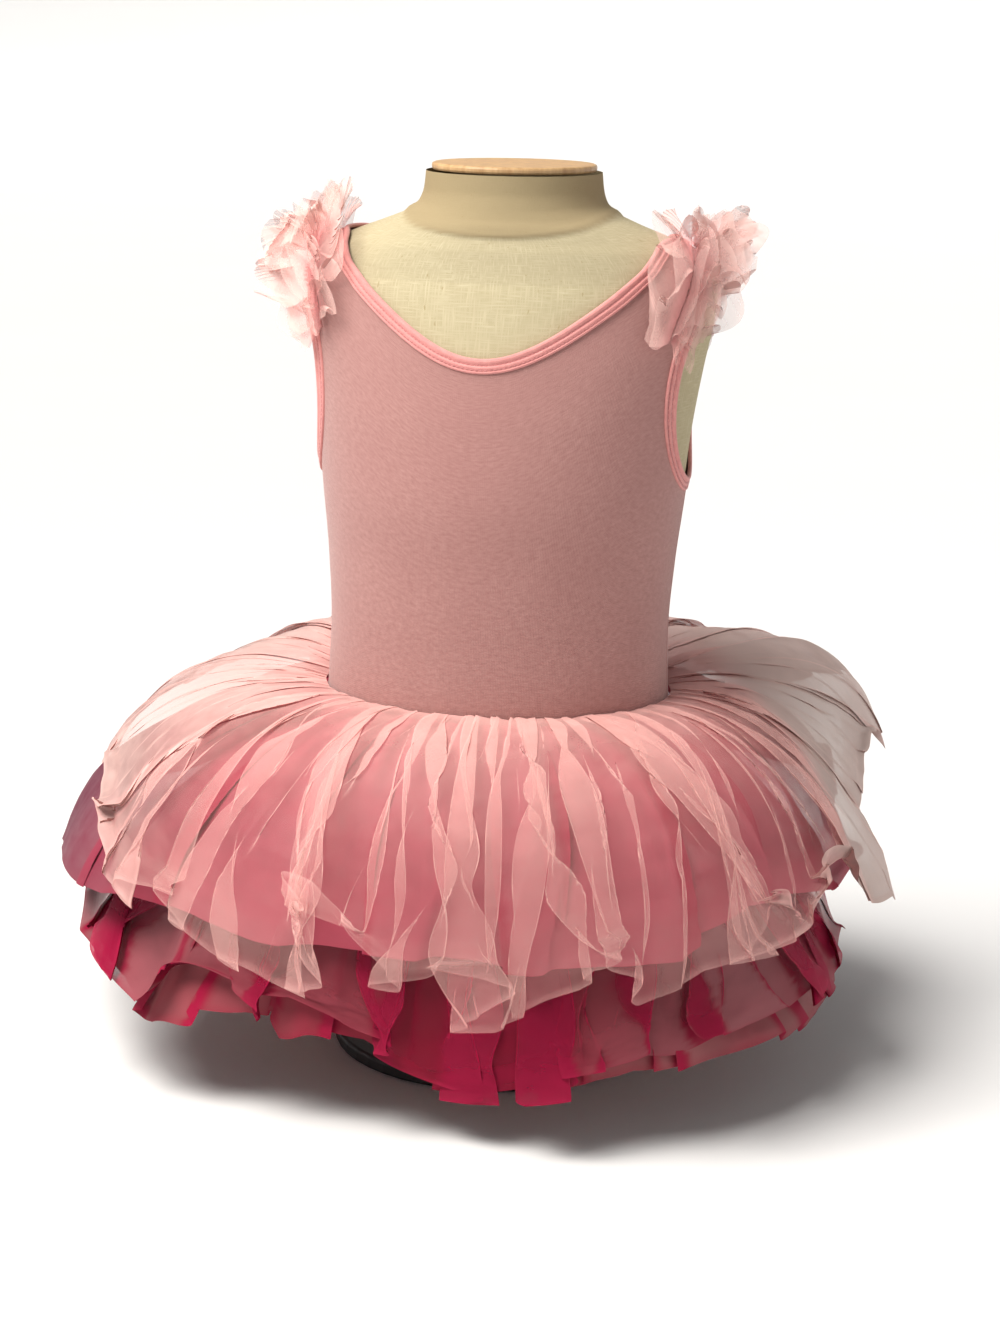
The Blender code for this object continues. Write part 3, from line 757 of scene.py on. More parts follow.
# Sets of pleats: count, drift (share of a pleat), height (mm) down the fall,
# overlap down the fall, seed. An overlap over 1 lays the net over itself in a flat pleat.
PALE_PLEATS = (
    (
        124, 1.2, ((0, 1.5), (0.06, 1.6), (0.3, 0.6), (0.6, 0.2), (1, 0)),
        ((0, 1.6), (0.15, 1.6), (0.4, 0.8), (0.7, 0.1), (1, 0)), 21,
    ),
    (
        58, 1.6, ((0, 0.3), (0.12, 1.2), (0.5, 0.9), (1, 0.5)),
        ((0, 0.3), (0.15, 1.6), (0.45, 1.2), (0.75, 0.7), (1, 0.3)), 22,
    ),
    (17, 1.2, ((0, 0), (0.25, 0.8), (0.7, 3.0), (1, 5.5)), ((0, 0), (0.3, 0.1), (1, 0.35)), 23),
)
ROSE_PLEATS = (
    (90, 0.9, ((0, 1.0), (0.1, 1.2), (0.4, 0.5), (1, 0.1)), ((0, 1.0), (0.3, 0.6), (1, 0)), 31),
    (15, 1.0, ((0, 0.2), (0.4, 1.2), (1, 5.0)), ((0, 0), (1, 0.6)), 33),
)
HOT_PLEATS = (
    (70, 0.9, ((0, 1.0), (0.1, 1.2), (0.5, 0.5), (1, 0.1)), ((0, 1.0), (0.3, 0.5), (1, 0)), 41),
    (13, 1.0, ((0, 0.2), (0.4, 1.5), (1, 6.5)), ((0, 0.1), (0.5, 0.5), (1, 0.9)), 42),
)
HOT_FRILL_PLEATS = (
    (34, 1.8, ((0, 0.5), (0.4, 1.2), (1, 2.2)), ((0, 0.8), (0.3, 1.3), (1, 1.3)), 52),
    (11, 1.0, ((0, 0), (1, 4.5)), ((0, 0), (1, 0.6)), 53),
)
# Folds placed one by one: angle at the waist, angle at the hem (deg), first share, last share,
# width of the doubled strip at the hem (mm), height (mm), side that it folds to.
PALE_FOLDS = (
    (159, 168, 0.02, 1.05, 10, 2, 1), (151, 157, 0.25, 1.05, 7, 3, -1), (147, 147, 0.3, 0.95, 6, 3, 1),
    (141, 152, 0.02, 1.05, 20, 3, 1), (134, 141, 0.2, 1.05, 8, 4, -1), (138, 146, 0.02, 1.06, 11, 3, -1),
    (130, 134, 0.02, 1.08, 9, 3, 1), (124.5, 129, 0.1, 1.1, 11, 4, -1), (121, 123, 0.02, 1.06, 8, 3, 1),
    (126, 127, 0.02, 0.62, 9, 3, -1), (123, 117, 0.3, 0.96, 6, 3, 1), (118, 109, 0.02, 1.1, 25, 6, 1),
    (112, 103.5, 0.02, 1.08, 10, 4, -1), (107, 99.5, 0.06, 1.02, 8, 4, 1), (104, 96, 0.15, 1.05, 9, 5, 1),
    (100, 92.5, 0.02, 1.05, 7, 4, -1), (95, 90, 0.02, 0.6, 7, 3, 1), (92, 86, 0.08, 0.42, 5, 3, -1),
    (97, 81, 0.4, 1.1, 11, 5, 1), (87, 82, 0.02, 1.06, 13, 4, -1), (81, 79.5, 0.02, 0.6, 7, 4, 1),
    (77, 75, 0.02, 0.6, 7, 3, -1), (73.5, 73, 0.02, 1.06, 12, 5, 1), (80, 63, 0.12, 1.04, 5, 4, 1),
    (71, 66, 0.02, 1.0, 13, 4, -1), (66, 60, 0.05, 1.06, 11, 5, 1), (64, 55.5, 0.02, 0.75, 5, 3, -1),
    (60, 53, 0.04, 0.62, 6, 4, 1), (57, 47.5, 0.02, 0.98, 6, 3, 1), (38, 49, 0.04, 0.92, 7, 4, -1),
    (44, 44, 0.02, 0.55, 5, 3, 1), (48, 37, 0.02, 1.06, 32, 5, -1), (36, 31, 0.02, 1.05, 20, 4, 1),
    (27, 24, 0.1, 1.05, 10, 4, -1), (22, 15, 0.02, 0.85, 8, 4, 1), (13, 8, 0.2, 1.05, 20, 5, 1),
    (4, 0, 0.02, 0.9, 9, 4, -1), (-6, -10, 0.1, 1.05, 22, 5, 1), (-15, -17, 0.02, 0.8, 8, 4, 1),
    (-23, -27, 0.05, 1.05, 14, 5, -1), (-31, -33, 0.3, 1.0, 7, 3, 1), (-37, -43, 0.02, 1.05, 18, 4, 1),
    (-46, -50, 0.2, 1.08, 9, 4, -1), (-54, -55, 0.02, 0.7, 7, 4, 1), (-60, -66, 0.02, 1.05, 18, 6, -1),
    (-69, -72, 0.15, 0.95, 8, 4, 1), (-77, -77, 0.02, 1.0, 12, 5, 1), (-84, -88, 0.3, 1.05, 7, 3, -1),
    (-90, -95, 0.02, 1.05, 18, 4, 1), (-99, -101, 0.05, 1.05, 8, 4, -1), (-106, -108, 0.02, 0.65, 9, 4, 1),
    (-111, -117, 0.1, 1.02, 20, 6, -1), (-121, -123, 0.02, 0.95, 7, 4, 1),
    (-127, -132, 0.02, 1.06, 13, 5, -1), (-135, -138, 0.25, 0.9, 6, 3, 1),
    (-142, -148, 0.02, 1.02, 24, 5, 1), (-151, -154, 0.1, 0.8, 8, 4, -1),
    (-158, -163, 0.02, 1.05, 12, 5, 1), (-167, -170, 0.2, 1.0, 7, 4, -1),
    (-175, -179, 0.02, 1.05, 16, 4, 1), (168, 177, 0.02, 1.04, 8, 2, -1),
)
# Where the pale hem is turned up: angle, half width (deg), how far (1 folds it flat back).
PALE_TURNED = (
    (101, 5, 1.4), (108, 2.5, 1.0), (134, 5, 0.9), (151, 4, 0.9), (88, 3, 0.8), (60, 3, 0.8), (41, 6, 1.3),
    (18, 5, 1.2), (-80, 6, 0.8), (-118, 5, 0.9),
)
# How far each hem hangs past its fall, or short of it, by angle (deg), in hundredths of the fall.
PALE_HEM = (
    (180, 6), (176, 5), (172, 1), (168, -3), (164, -6), (160, -6), (156, 2), (152, 10), (148, 10),
    (144, 14), (140, 12), (136, 10), (132, 11.5), (128, 7), (120, 4), (112, 0), (108, -1), (104, -5),
    (98, -8), (94, -7), (90, -4), (84, -1), (80, 3), (76.5, 6), (72, 3), (68, -0.5), (65, -3), (60, 4.5),
    (56, 11), (52, 6), (48, 8.5), (44, 6.5), (36, 9), (32, 7), (24, 5), (20, 1), (16, -1.5), (8, 0), (3, 3),
    (-1, 6), (-6, -6), (-11, -15), (-20, -17), (-25, -6), (-32, 6), (-44, 2), (-54, 7), (-64, -2), (-74, 9),
    (-86, 0), (-100, 7), (-112, -4), (-124, 5), (-136, -3), (-146, -5), (-154, -20), (-168, -22),
    (-175, -5),
)
ROSE_HEM = (
    (184, 12), (176, 8), (168, 5), (160, 6.5), (152, 6.5), (144, 4), (136, 3.5), (132, 5.5), (124, 7.5),
    (112, 9), (100, 9.5), (88, 8.5), (72, 9), (64, 7), (56, 4), (48, 2.5), (44, -0.5), (40, -5), (36, -11),
    (20, -12), (6, -6), (-10, 2), (-30, -4), (-50, 5), (-74, 1), (-98, 6), (-124, -1), (-150, 6), (-166, 3),
)
HOT_HEM = (
    (168, 6), (160, 7), (152, 9), (148, 12), (144, 13), (138, 12), (134, 9), (130, 4), (126, -2), (123, -5),
    (121, -4), (119.5, 1), (112, -4), (104, -7), (98, -5), (95, -3), (91, -2), (89, 3), (84, 3), (80, 2),
    (77, 0), (66, 1), (60, -1), (54, -2), (48, 0), (44, 1.5), (38, 5), (32, 8), (24, 11), (12, 11), (0, 12),
    (-10, 5), (-24, 10), (-38, 2), (-56, 9), (-74, 1), (-92, 9), (-110, 2), (-128, 9), (-146, 3), (-162, 8),
    (-180, 5),
)
# The frill's hem hangs past the layer's in places, and short of it in others.
FRILL_HEM = (
    (170, 0), (163, 8), (156, 10), (152, 2), (146, 10), (141, 12), (138, 2), (128, -8), (119, -2),
    (114, -12), (106, -12), (99, -7), (95, -4), (91, -1), (88.5, 3), (82, 3), (78.5, 1), (75, -3), (71, 1),
    (66, 0), (62, -6), (56, -5), (50, -6), (44, -2), (38, -4), (30, 0), (22, 2), (10, 6), (-2, 2),
    (-14, 10), (-30, -2), (-45, 7), (-60, 0), (-80, 8), (-98, -3), (-115, 7), (-132, 0), (-150, 8),
    (-168, -2),
)
# Where the pale layer stands up off its fall: angle, half width (deg), height (mm), first share.
PALE_LIFTED = ((-36, 14, 14, 0.3), (1, 6, 4, 0.6), (-157, 17, -9, 0.2))
ROSE_FOLDS = (
    (152, 158, 0.1, 1.0, 9, 4, 1), (134, 139, 0.2, 1.05, 8, 4, -1), (113, 118, 0.02, 0.7, 7, 4, 1),
    (101, 103, 0.3, 1.05, 9, 4, 1), (79, 77.5, 0.02, 1.05, 10, 4, -1), (68, 64, 0.15, 0.95, 8, 4, 1),
    (47, 44, 0.25, 1.05, 9, 4, -1), (28, 25, 0.02, 0.95, 8, 4, 1), (2, -1, 0.1, 1.0, 9, 4, -1),
    (-24, -26, 0.2, 1.0, 8, 4, 1), (-55, -57, 0.1, 1.0, 10, 4, -1), (-82, -84, 0.2, 1.0, 8, 4, 1),
    (-111, -112, 0.1, 0.8, 9, 4, -1), (-136, -139, 0.2, 1.05, 8, 4, 1), (-166, -169, 0.2, 1.05, 9, 4, -1),
)
HOT_FOLDS = (
    (158, 162, 0.4, 1.05, 8, 4, 1), (128, 131, 0.5, 1.05, 7, 4, -1), (108, 110, 0.4, 1.0, 6, 4, 1),
    (70, 69, 0.5, 1.05, 9, 5, 1), (50, 46, 0.4, 1.05, 6, 4, -1), (22, 19, 0.5, 1.05, 8, 4, 1),
    (-10, -13, 0.4, 1.0, 7, 4, -1), (-48, -50, 0.5, 1.05, 8, 5, 1), (-76, -79, 0.4, 1.05, 6, 4, -1),
    (-104, -108, 0.5, 1.05, 9, 4, 1), (-140, -142, 0.4, 1.0, 7, 4, -1),
)
# The frill's flutes: those in front are as the photo shows them.
FRILL_FLUTES = (
    (174, 176, 0.3, 1.1, 12, 5, 1), (160, 155, 0.0, 1.1, 18, 6, -1), (146, 151, 0.0, 1.1, 20, 7, 1),
    (133, 128, 0.4, 1.1, 6, 4, -1), (124, 120, 0.0, 1.1, 15, 6, 1), (115, 117, 0.5, 1.1, 5, 3, -1),
    (106, 104, 0.1, 1.1, 7, 4, -1), (96, 99, 0.0, 1.1, 15, 6, 1), (91, 88, 0.3, 1.1, 6, 4, 1),
    (83, 84, 0.0, 1.1, 21, 6, -1), (77, 74, 0.4, 1.1, 6, 4, 1), (68, 69, 0.0, 1.1, 24, 8, -1),
    (60, 57, 0.5, 1.1, 5, 3, 1), (51, 53, 0.0, 0.9, 17, 6, 1), (43, 39, 0.3, 1.1, 9, 5, -1),
    (33, 36, 0.5, 1.1, 5, 3, 1), (24, 21, 0.0, 1.1, 18, 7, -1), (13, 16, 0.3, 1.1, 7, 5, 1),
    (4, 0, 0.0, 1.1, 13, 6, 1), (-12, -9, 0.4, 1.1, 6, 4, -1), (-22, -26, 0.0, 1.1, 19, 7, 1),
    (-38, -35, 0.3, 1.1, 8, 5, -1), (-49, -53, 0.0, 1.1, 13, 6, 1), (-61, -59, 0.5, 1.1, 5, 3, -1),
    (-73, -77, 0.0, 1.1, 22, 8, 1), (-90, -88, 0.2, 1.1, 8, 5, -1), (-101, -105, 0.0, 1.1, 14, 6, 1),
    (-116, -113, 0.4, 1.1, 6, 4, -1), (-126, -131, 0.0, 1.1, 20, 7, 1), (-147, -143, 0.3, 1.1, 8, 5, -1),
    (-160, -164, 0.0, 1.1, 16, 6, 1),
)


def loose_folds(count, seed, wide, tall, through):
    """Lesser folds between the placed ones, uneven in length, slant and place.

    wide and tall are ranges in mm; through is the share of them that reach the hem.
    """
    rng = np.random.default_rng(seed)
    made = []
    for i in range(count):
        at = (i + rng.uniform(-0.48, 0.48)) * 360 / count
        begin = rng.choice([0.02, 0.02, rng.uniform(0.1, 0.6)])
        end = 1.1 if rng.random() < through else min(begin + rng.uniform(0.4, 0.75), 0.99)
        at_hem = at + rng.normal(0, 4)
        size = (rng.uniform(*wide), rng.uniform(*tall))
        made.append((at, at_hem, begin, end, *size, rng.choice([-1, 1])))
    return tuple(made)


def from_angle(t, angle):
    """How far t is from an angle, in degrees from -180 to 180."""
    return np.mod(np.degrees(t) - angle + 180, 360) - 180


def bump_at(t, angle, half):
    """1 at an angle (deg) and none well away from it."""
    return bell(from_angle(t, angle), half)


# The middle of the front, how far round from it the veil starts at the wearer's right and left, how
# much further forward it starts at the hem there, and where it thins out behind, to each side (deg).
FRONT, VEIL_RIGHT, VEIL_LEFT, VEIL_FORWARD = 66, 81, 91, 46
THIN_BEHIND, THIN_HALF = -102, 40


def veiled(t, share):
    """1 behind each side of the skirt and 0 in front, and less again at the middle of the back."""
    away = from_angle(t, FRONT)
    behind = np.where(away > 0, (away - VEIL_RIGHT) * 0.6, VEIL_FORWARD * share - VEIL_LEFT - away)
    return ease(behind, -9, 9) * (1 - 0.8 * bump_at(t, THIN_BEHIND, THIN_HALF))


def thicknesses(x):
    """How many times a closed row lies over itself at each of its points, for angles x by row."""
    rows, columns = x.shape
    bins = columns * 3
    steps = np.concatenate([x, x[:, :1] + TURN], axis=1)
    low = np.floor(np.minimum(steps[:, 1:], steps[:, :-1]) / TURN * bins).astype(int) + bins
    high = np.floor(np.maximum(steps[:, 1:], steps[:, :-1]) / TURN * bins).astype(int) + bins
    row = np.arange(rows)[:, None] + np.zeros_like(low)
    change = np.zeros((rows, bins * 3 + 1))
    np.add.at(change, (row, np.clip(low, 0, bins * 3)), 1)
    np.add.at(change, (row, np.clip(high, 0, bins * 3)), -1)
    held = np.cumsum(change, axis=1)[:, : bins * 3].reshape(rows, 3, bins).sum(axis=1)
    at = np.mod(np.floor(x / TURN * bins).astype(int), bins)
    count = held[np.arange(rows)[:, None], at]
    return (np.roll(count, 1, 1) + 2 * count + np.roll(count, -1, 1)) / 4


# How far a hem curls up and in, and how high it stands where it is turned up (mm).
CURL_UP, CURL_IN, TURN_UP = 7, 6, 7


class Net:
    """A ring of gathered net, as a grid of angles round the waist (t) and shares of its fall (s).

    Its folds raise it off its smooth form (height) and slide it sideways over itself (slide).
    """

    def __init__(self, columns, rows, form, seed, first=0.0, calm=0.0):
        """It is sewn on at the share first of its form, and lies flatter behind by the share calm."""
        self.form, self.seed = form, seed
        self.u = np.arange(columns)[None, :] / columns + np.zeros((rows, 1))
        self.t = TURN * self.u
        # The rows lie closer together towards the hem.
        s = np.linspace(0, 1, rows)[:, None]
        self.s = s + 0.12 * np.sin(math.pi * s) + np.zeros((1, columns))
        self.share = first + (1 - first) * self.s
        self.radius = np.linalg.norm(form(self.t, self.share)[0][..., :2], axis=-1)
        self.height, self.slide = np.zeros_like(self.s), np.zeros_like(self.s)
        self.quiet = 1 - calm * veiled(self.t, self.s) * ease(self.s, 0.05, 0.4)
        # The fall stands nearly level at the waist, where high pleats would hide each other.
        self.low = 0.35 + 0.65 * ease(self.s, 0.05, 0.5)

    def wander(self, cells_u, cells_v, seed, down=1.0):
        return wander(self.u, self.s * down, cells_u, cells_v, seed)

    def pleat(self, sets):
        """Lays sets of even pleats, each of its own strength."""
        for count, drift, tall, over, own in sets:
            uneven = drift * self.wander(count // 3, 1, own, 0)
            uneven += 0.2 * self.wander(count // 3, 3, own + 50)
            phase = TURN * (count * self.u + uneven)
            strength = 0.65 + 0.95 * self.wander(max(count // 2, 5), 1, own + 100, 0)
            strength = np.clip(strength, 0.0, 1.5) * self.quiet
            side = np.clip(4 * self.wander(max(count // 4, 4), 1, own + 150, 0), -1, 1)
            wave = 0.45 * np.cos(phase) + 0.9 * side * np.sin(phase)
            self.height += self.low * table(self.s, tall) * MM * strength * wave
            self.slide -= table(self.s, over) * strength * self.radius / count * np.sin(phase)

    def fold(self, folds):
        """Lays folds one by one: each opens like a cone, from its gather or from a point."""
        down = self.s[:, :1]
        for at_waist, at_hem, begin, end, wide, tall, side in folds:
            bend = 0.4 * wander(down * 0.6, down, 4, 2, int(self.seed + abs(at_waist) * 10))
            centre = np.radians(at_waist + (at_hem - at_waist) * down + bend)
            opened = np.clip((down - begin) / (1.0 - begin), 0, 1.2)
            opened = 0.32 + 0.68 * opened if begin < 0.05 else opened**0.7
            if end < 1:
                opened = opened * ease(end - down, 0, 0.5)
            across = np.maximum(wide * opened, 0.02) * MM
            away = (np.mod(self.t - centre + math.pi, TURN) - math.pi) * self.radius / across
            near = bell(away, 1.0)
            tilted = 0.5 * near + 0.7 * side * away * np.exp(-(away**2) / 1.5)
            self.height += self.quiet * self.low * tall * MM * np.minimum(opened, 1) * tilted
            self.slide -= 2.6 * across * away * near

    def crumple(self, rough, from_share):
        """Creases it by a height in mm below a share of its fall, some stretches much more."""
        grown = ease(self.s, from_share, 1.0)
        facets = 1 - 2 * np.abs(self.wander(74, 9, self.seed + 1))
        broken = 1 - 2 * np.abs(self.wander(150, 16, self.seed + 2))
        creases = facets * (0.15 + grown) + 0.5 * broken * (0.1 + grown)
        shift = self.wander(90, 9, self.seed + 3) * (0.2 + grown)
        much = 0.6 + 1.6 * np.clip(self.wander(11, 1, self.seed + 8, 0), 0, 1)
        self.height += self.quiet * rough * MM * creases * much
        self.slide += 0.6 * rough * MM * shift * much

    def cut(self, uneven, hem):
        """Cuts the hem unevenly by a share of the fall, and longer or shorter by its table."""
        ragged = 0.75 * self.wander(26, 1, self.seed + 4, 0)
        ragged += 0.25 * (1 - 2 * np.abs(self.wander(52, 1, self.seed + 5, 0)))
        angles, more = np.array(sorted(hem)).T
        longer = uneven * ragged + np.interp(np.degrees(self.t), angles, more / 100, period=360)
        self.share = self.share + longer * self.s**3

    def lift(self, places):
        for angle, half, tall, from_share in places:
            grown = ease(self.s, from_share, 0.95)
            self.height += tall * MM * bump_at(self.t, angle, half) * grown

    def turn_up(self, places):
        """Turns the hem up in places."""
        ruffled = 1 + 0.5 * self.wander(200, 30, self.seed + 7)
        for angle, half, up in places:
            away = from_angle(self.t, angle) / half
            near = bell(away, 1.0) * (1 + 0.25 * away)
            self.share = self.share - near * up * np.clip(self.s - 0.84, 0, 1)
            self.height += near * TURN_UP * MM * ease(self.s, 0.84, 0.93) * ruffled

    def lay(self, gathered=0.0):
        """Works out its points, its smooth form's normals, and the values that its finish takes."""
        s, columns = self.s, self.s.shape[1]
        around = self.t + self.slide * self.quiet**0.7 / self.radius
        points, front, run = self.form(around, self.share)
        curl = np.clip(self.wander(44, 1, self.seed + 6, 0) - 0.15, 0, 1) * ease(s, 0.9, 1.0) ** 1.5
        curled = (front * CURL_UP - run * CURL_IN) * (curl * MM)[..., None]
        self.grid, self.front = points + front * self.height[..., None] + curled, front
        facing = np.abs(np.sum(normals_of(self.grid, True) * front, axis=-1))
        steep = np.clip((1 / np.maximum(facing, 0.1) - 1) / FOLD_LAYERS, 0, 1)
        # Where a fold turns over, its threads crowd together into a bright edge.
        ends = np.concatenate([around[:, -1:] - TURN, around, around[:, :1] + TURN], axis=1)
        spread = np.abs(ends[:, 2:] - ends[:, :-2]) * columns / TURN / 2
        crowded = (1 / np.maximum(spread, 0.2) - 1).clip(0)
        steep = np.clip(steep + EDGE_LAYERS / FOLD_LAYERS * crowded, 0, 1)
        # Gathered into the waist, the same net lies many times closer; its hem is a little denser.
        dense = gathered * (1 - s) ** 3 + 0.16 * ease(s, 0.975, 1.0) + 0.07 * ease(s, 0.7, 0.95)
        self.steep = np.clip(steep + dense, 0, 1)
        self.thick = np.clip((thicknesses(around) - 1) / 2, 0, 1)


def make_layer(name, slot, finish, net, tone, node):
    cut = (float(row_lengths(net.grid, True).max()), float(column_lengths(net.grid).mean()))
    values = {"fold": [net.steep], "thick": [net.thick], "tone": [tone]}
    made = add_grids(name, [net.grid], True, cut, finish, values)
    even_shading(made, [net.front])
    settle(made, slot, node)


def windows(net, seed):
    """Where the hot pink net is a single thickness, and so reads as a dull veil."""
    centre = bell(net.t - math.radians(84), 0.5)
    patch = 0.8 + 0.3 * net.wander(34, 2, seed, 0.5) - 0.9 * centre
    return np.clip(patch, 0, 1) * (1 - net.thick) * (1 - net.steep)


def fall_form(fall, seam):
    """A layer's smooth form, for Net."""
    return lambda t, share: skirt_fall(t, share, fall, seam)


def frill_form(t, share):
    """The frill's smooth form: it stands off the hot pink layer by more towards its hem."""
    points, normal, run = skirt_fall(t, share, HOT_PINK_FALL, HOT_SEAM)
    off = 2.0 + 7 * np.clip((share - FRILL_SEAM) / 0.45, 0, 1.1)
    return points + normal * (off * MM)[..., None], normal, run


def make_skirt():
    fine = 1.0

    def ring(columns, rows, form, seed, **others):
        return Net(int(columns * fine), int(rows * fine), form, seed, **others)

    pale_net, rose_net, hot_net, frill_net = (
        tulle_finish(*net)
        for net in (
            ("pale_tulle_net", (242, 184, 178), (250, 196, 189), (186, 174, 166), 0.09, 0.84, 0.12),
            ("rose_tulle_net", (178, 78, 94), (170, 44, 72), (104, 42, 62), 0.84, 0.75, 0.06),
            ("hot_pink_tulle_net", (142, 4, 44), (160, 4, 56), (162, 110, 110), 0.8, 0.75, 0.04),
            ("hot_pink_frill_net", (140, 4, 44), (164, 6, 60), (156, 92, 98), 0.5, 0.55, 0.04),
        )
    )

    pale = ring(1880, 53, fall_form(PALE_FALL, PALE_SEAM), 201, calm=0.75)
    pale.pleat(PALE_PLEATS)
    pale.fold(PALE_FOLDS)
    pale.fold(loose_folds(116, 24, (2.5, 7), (1.5, 3), 1.0))
    pale.fold(loose_folds(220, 25, (1.3, 2.8), (0.7, 1.4), 0.4))
    pale.crumple(1.6, 0.5)
    pale.lift(PALE_LIFTED)
    pale.cut(0.02, PALE_HEM)
    pale.turn_up(PALE_TURNED)
    pale.lay(0.6)
    # Behind the sides, the net reads as one dull veil below its gathers, less so at the left.
    tone = ease(pale.s, 0.0, 0.4) * veiled(pale.t, pale.s) * (0.9 + 0.1 * pale.wander(12, 3, 77))
    tone = tone * (1 - 0.42 * bump_at(pale.t, 166, 34))
    under = ["form_torso_linen", "rose_tulle_layer"]
    make_layer("pale_tulle_layer", "pale_tulle", pale_net, pale, tone, "skirt_pale")

    rose = ring(1100, 60, fall_form(ROSE_FALL, ROSE_SEAM), 301)
    rose.pleat(ROSE_PLEATS)
    rose.fold(ROSE_FOLDS)
    rose.crumple(0.7, 0.5)
    rose.cut(0.012, ROSE_HEM)
    rose.lay(0.2)
    tone = bell(rose.t - math.pi, 0.6) * ease(rose.s, 0.45, 0.75)
    under = ["form_torso_linen", "hot_pink_tulle_layer"]
    make_layer("rose_tulle_layer", "rose_tulle", rose_net, rose, tone, "skirt_rose")

    hot = ring(1000, 64, fall_form(HOT_PINK_FALL, HOT_SEAM), 401)
    hot.pleat(HOT_PLEATS)
    hot.fold(HOT_FOLDS + loose_folds(26, 27, (2, 7), (2, 4), 0.8))
    hot.crumple(1.0, 0.4)
    hot.cut(0.02, HOT_HEM)
    hot.lay()
    tone, under = windows(hot, 81), ["form_torso_linen"]
    make_layer("hot_pink_tulle_layer", "hot_pink_tulle", hot_net, hot, tone, "skirt_hot_pink")

    frill = ring(1200, 36, frill_form, 501, first=FRILL_SEAM)
    frill.pleat(HOT_FRILL_PLEATS)
    frill.fold(FRILL_FLUTES + loose_folds(34, 26, (3, 9), (3, 5), 0.8))
    frill.crumple(1.0, 0.3)
    frill.cut(0.03, FRILL_HEM)
    frill.lay()
    name, node = "hot_pink_tulle_frill", "skirt_hot_pink_frill"
    tone, under = windows(frill, 82), ["hot_pink_tulle_layer"]
    make_layer(name, "hot_pink_tulle", frill_net, frill, tone, node)


# -------- the shoulder frills


def frill_line(share, side):
    """Angle and height of the frill's seam over the shoulder, from its front end to its back."""
    steps = 180
    t, height = shifted_curve(*armhole_curve(steps, 0.0), BINDING_WIDTH + FRILL_FROM_BINDING)
    turn = (np.arange(steps) + 0.5) / steps * TURN
    wanted = FRILL_END + (math.pi - 2 * FRILL_END) * share
    t, height = np.interp(wanted, turn, t), np.interp(wanted, turn, height)
    return (t if side > 0 else math.pi - t), height


# Rows of frill: lean from the surface (deg) on the left and on the right shoulder, height (mm),
# petals, shift of its seam (mm), seed.
FRILL_ROWS = (
    ("outer", 30, 47, 34, 5, 1.6, 61),
    ("inner", -70, -52, 38, 4, -1.6, 71),
)
# Where a row stands lower: share along it, how much less, half width.
FRILL_DIPS = {
    ("left", "outer"): ((0.84, 0.55, 0.24),),
    ("left", "inner"): ((0.84, 0.55, 0.24), (0.5, 0.42, 0.14)),
    ("right", "outer"): ((0.5, 0.22, 0.16),),
    ("right", "inner"): ((0.5, 0.26, 0.16),),
}
# Each row is a strip folded twice: share of its lean and of its height for each leaf.
FRILL_LEAVES = ((1.0, 1.0), (0.62, 0.94), (0.3, 0.84), (0.05, 0.7))
# How far the petals go off their smooth form, along their seam and out over the shoulder (mm).
PETAL_WAVE, PETAL_CREASE, PETAL_LOOP, PETAL_FAN, PETAL_DROOP = 5.4, 1.4, 30, 16, 5.0
# The gathers at their seam: how many to a petal, how far off it and along it (mm).
PETAL_GATHERS, GATHER_WAVE, GATHER_LOOP = 5, 0.3, 0.9


